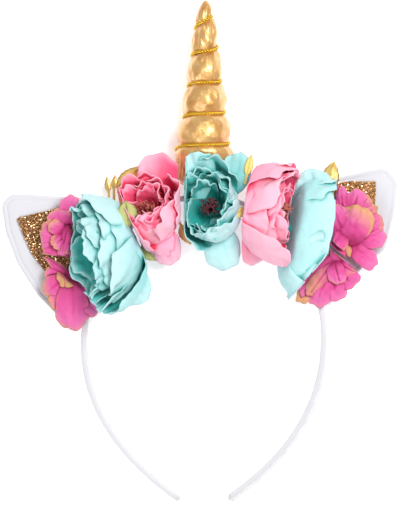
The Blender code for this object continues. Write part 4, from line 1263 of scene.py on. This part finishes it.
def build_stamens():
    """Curly threads that stand in the flower's middle."""
    frames = {row[0]: flower_frame(row) for row in FLOWERS}
    for name, flower, start, radius, length, stalk in STAMENS:
        draw = random.Random(name)
        base, axis, side, front = frames[flower]
        side, front = side / np.linalg.norm(side), front / np.linalg.norm(front)
        dark, light = STAMEN_TINTS["teal" in name]
        shape = Shape()
        for _ in range(STAMEN_THREADS):
            a, spread = draw.uniform(0, 2 * pi), sqrt(draw.random())
            tall = length * (1 - 0.35 * spread**2) * draw.uniform(0.82, 1.0)
            curl, turns = draw.uniform(0.5, 1.1), draw.uniform(1.0, 2.2)
            phase = draw.uniform(0, 2 * pi)
            path = []
            for t in np.linspace(0, 1, STAMEN_STEPS):
                reach = stalk * 0.8 * spread + (radius - stalk) * spread * smoothstep(0.15, 0.8, t)
                b = phase + 2 * pi * turns * t
                wave = curl * t * t
                across = side * (reach * cos(a) + wave * cos(b)) + front * (reach * sin(a) + wave * sin(b))
                path.append(base + (axis * (start + tall * t) + across) / 1000)
            thick = np.linspace(0.24, 0.18, STAMEN_STEPS) / 1000
            thick[-3:] = np.array((0.2, 0.38, 0.26)) / 1000
            points, faces = tube(path, thick, STAMEN_SIDES)
            share = np.linspace(0, 1, STAMEN_STEPS).repeat(STAMEN_SIDES)
            shape.add(points, faces, blend(dark, light, share**2 * draw.uniform(0.5, 1.0)))
        shape.make(name + "_threads", "stamen_thread", [name])


def leaf_grid(row, across=10, along=24):
    """A pointed leaf on a stem that bends at the knee, folded along its vein."""
    root, knee, tip = (Vector(row[i:i + 3]) / 1000 for i in (0, 3, 6))
    width, fold = row[9] / 1000, row[10] / 1000
    stem_steps = 6
    stem, blade = (knee - root).normalized(), (tip - knee).normalized()
    grid = np.zeros((across + 1, along + 1, 3))
    for k in range(along + 1):
        share = max(0.0, (k - stem_steps) / (along - stem_steps))
        way = stem.lerp(blade, float(smoothstep(stem_steps - 2, stem_steps + 2, k)))
        side = way.cross(Vector((0, 0, 1))).normalized()
        out = side.cross(way).normalized()
        middle = root.lerp(knee, k / stem_steps) if k < stem_steps else knee.lerp(tip, share)
        middle = middle + out * (LEAF_ARCH * (tip - knee).length * sin(pi * share))
        for i in range(across + 1):
            u = 2 * i / across - 1
            half = max(0.0007 * (1 - 0.9 * share), width / 2 * sin(pi * share**0.8) ** 0.85)
            half *= 1 + 0.06 * sin(share * 38 + i)
            veins = 0.00014 * sin(share * 34 - abs(u) * 6) * (1 - abs(u)) * (share > 0)
            grid[i, k] = middle + side * u * half + out * (veins - fold * abs(u) * min(1.0, 3 * share))
    return grid


def build_leaf(name, tint, row, look, nodes=()):
    grid = leaf_grid(row)
    _, u = sheet_places(grid)
    bright, dark = (linear(*shade) for shade in LEAF_TINTS[tint])
    colour = blend(bright, dark, np.maximum(smoothstep(0.7, 1.0, u), 1 - smoothstep(0.0, 0.15, u)))
    shape = Shape()
    shape.add(*thick_sheet(grid, LEAF_THICKNESS, colour, colour))
    shape.make(name, "gold_leaf", nodes, look=look)


# The stage


FLOOR_REACH = 4.0
WHITE_LIGHT = 0.42  # the strength of the room's white, and of the floor's own
AIM = (0, -0.03, 0)
LIGHTS = (
    # name, energy, size, place
    ("key", 9.0, 0.45, (0.34, 0.26, 0.95)),
    ("fill", 3.0, 0.4, (-0.45, -0.55, 0.8)),
)


def add_area_light(name, energy, size, place, aim):
    light = bpy.data.lights.new(name, "AREA")
    light.energy = energy
    light.size = size
    obj = bpy.data.objects.new(name, light)
    obj.location = place
    obj.rotation_euler = (Vector(aim) - Vector(place)).to_track_quat("-Z", "Y").to_euler()
    bpy.context.scene.collection.objects.link(obj)


def build_stage():
    scene = bpy.context.scene
    data = bpy.data.cameras.new("camera")
    data.sensor_fit = "HORIZONTAL"
    width = PHOTO_SIZE[0] * PIXEL
    data.angle = 2 * atan(width / 2 / (CAMERA_HEIGHT - REFERENCE_HEIGHT))
    data.clip_start = 0.01
    camera = bpy.data.objects.new("camera", data)
    x = (PHOTO_SIZE[0] / 2 - ORIGIN_PIXEL[0]) * PIXEL
    y = (ORIGIN_PIXEL[1] - PHOTO_SIZE[1] / 2) * PIXEL
    camera.location = (x, y, CAMERA_HEIGHT)
    scene.collection.objects.link(camera)
    scene.camera = camera

    floor_mesh = bpy.data.meshes.new("floor")
    corners = [(x * FLOOR_REACH, y * FLOOR_REACH, 0) for x, y in ((-1, -1), (1, -1), (1, 1), (-1, 1))]
    floor_mesh.from_pydata(corners, [], [(0, 1, 2, 3)])
    floor = bpy.data.objects.new("floor", floor_mesh)
    white = {"Emission_Color": (1.0, 1.0, 1.0, 1.0), "Emission_Strength": WHITE_LIGHT}
    floor_mesh.materials.append(new_material("floor", (0.95, 0.95, 0.96), 0.9, **white))
    scene.collection.objects.link(floor)

    world = bpy.data.worlds.new("studio")
    world.use_nodes = True
    scene.world = world
    background = world.node_tree.nodes["Background"]
    background.inputs["Color"].default_value = (1.0, 1.0, 1.0, 1.0)
    background.inputs["Strength"].default_value = WHITE_LIGHT
    for light in LIGHTS:
        add_area_light(*light, AIM)
    scene.view_settings.view_transform = "Standard"
    scene.view_settings.look = "None"


def main():
    build_stage()
    build_band()
    build_horn()
    build_horn_cord()
    for name, rows, side, first, last in EARS:
        build_ear(name, rounded_outline(rows) + beside_band(BAND_THICKNESS / 2 + GAP, side, first, last))
    for seed, (name, rows) in enumerate(PANELS):
        build_panel(name, rows, seed)
    for row in FLOWERS:
        build_flower(row)
    for row in BLOOM_CORES:
        build_bloom(row)
    build_stamens()
    for name, *row in LEAVES:
        build_leaf(name + "_blade", "gold", row, "gold_leaf", [name])
    for name, tint, *row in SMALL_LEAVES:
        build_leaf(name, tint, row, "leaf_cloth")


main()
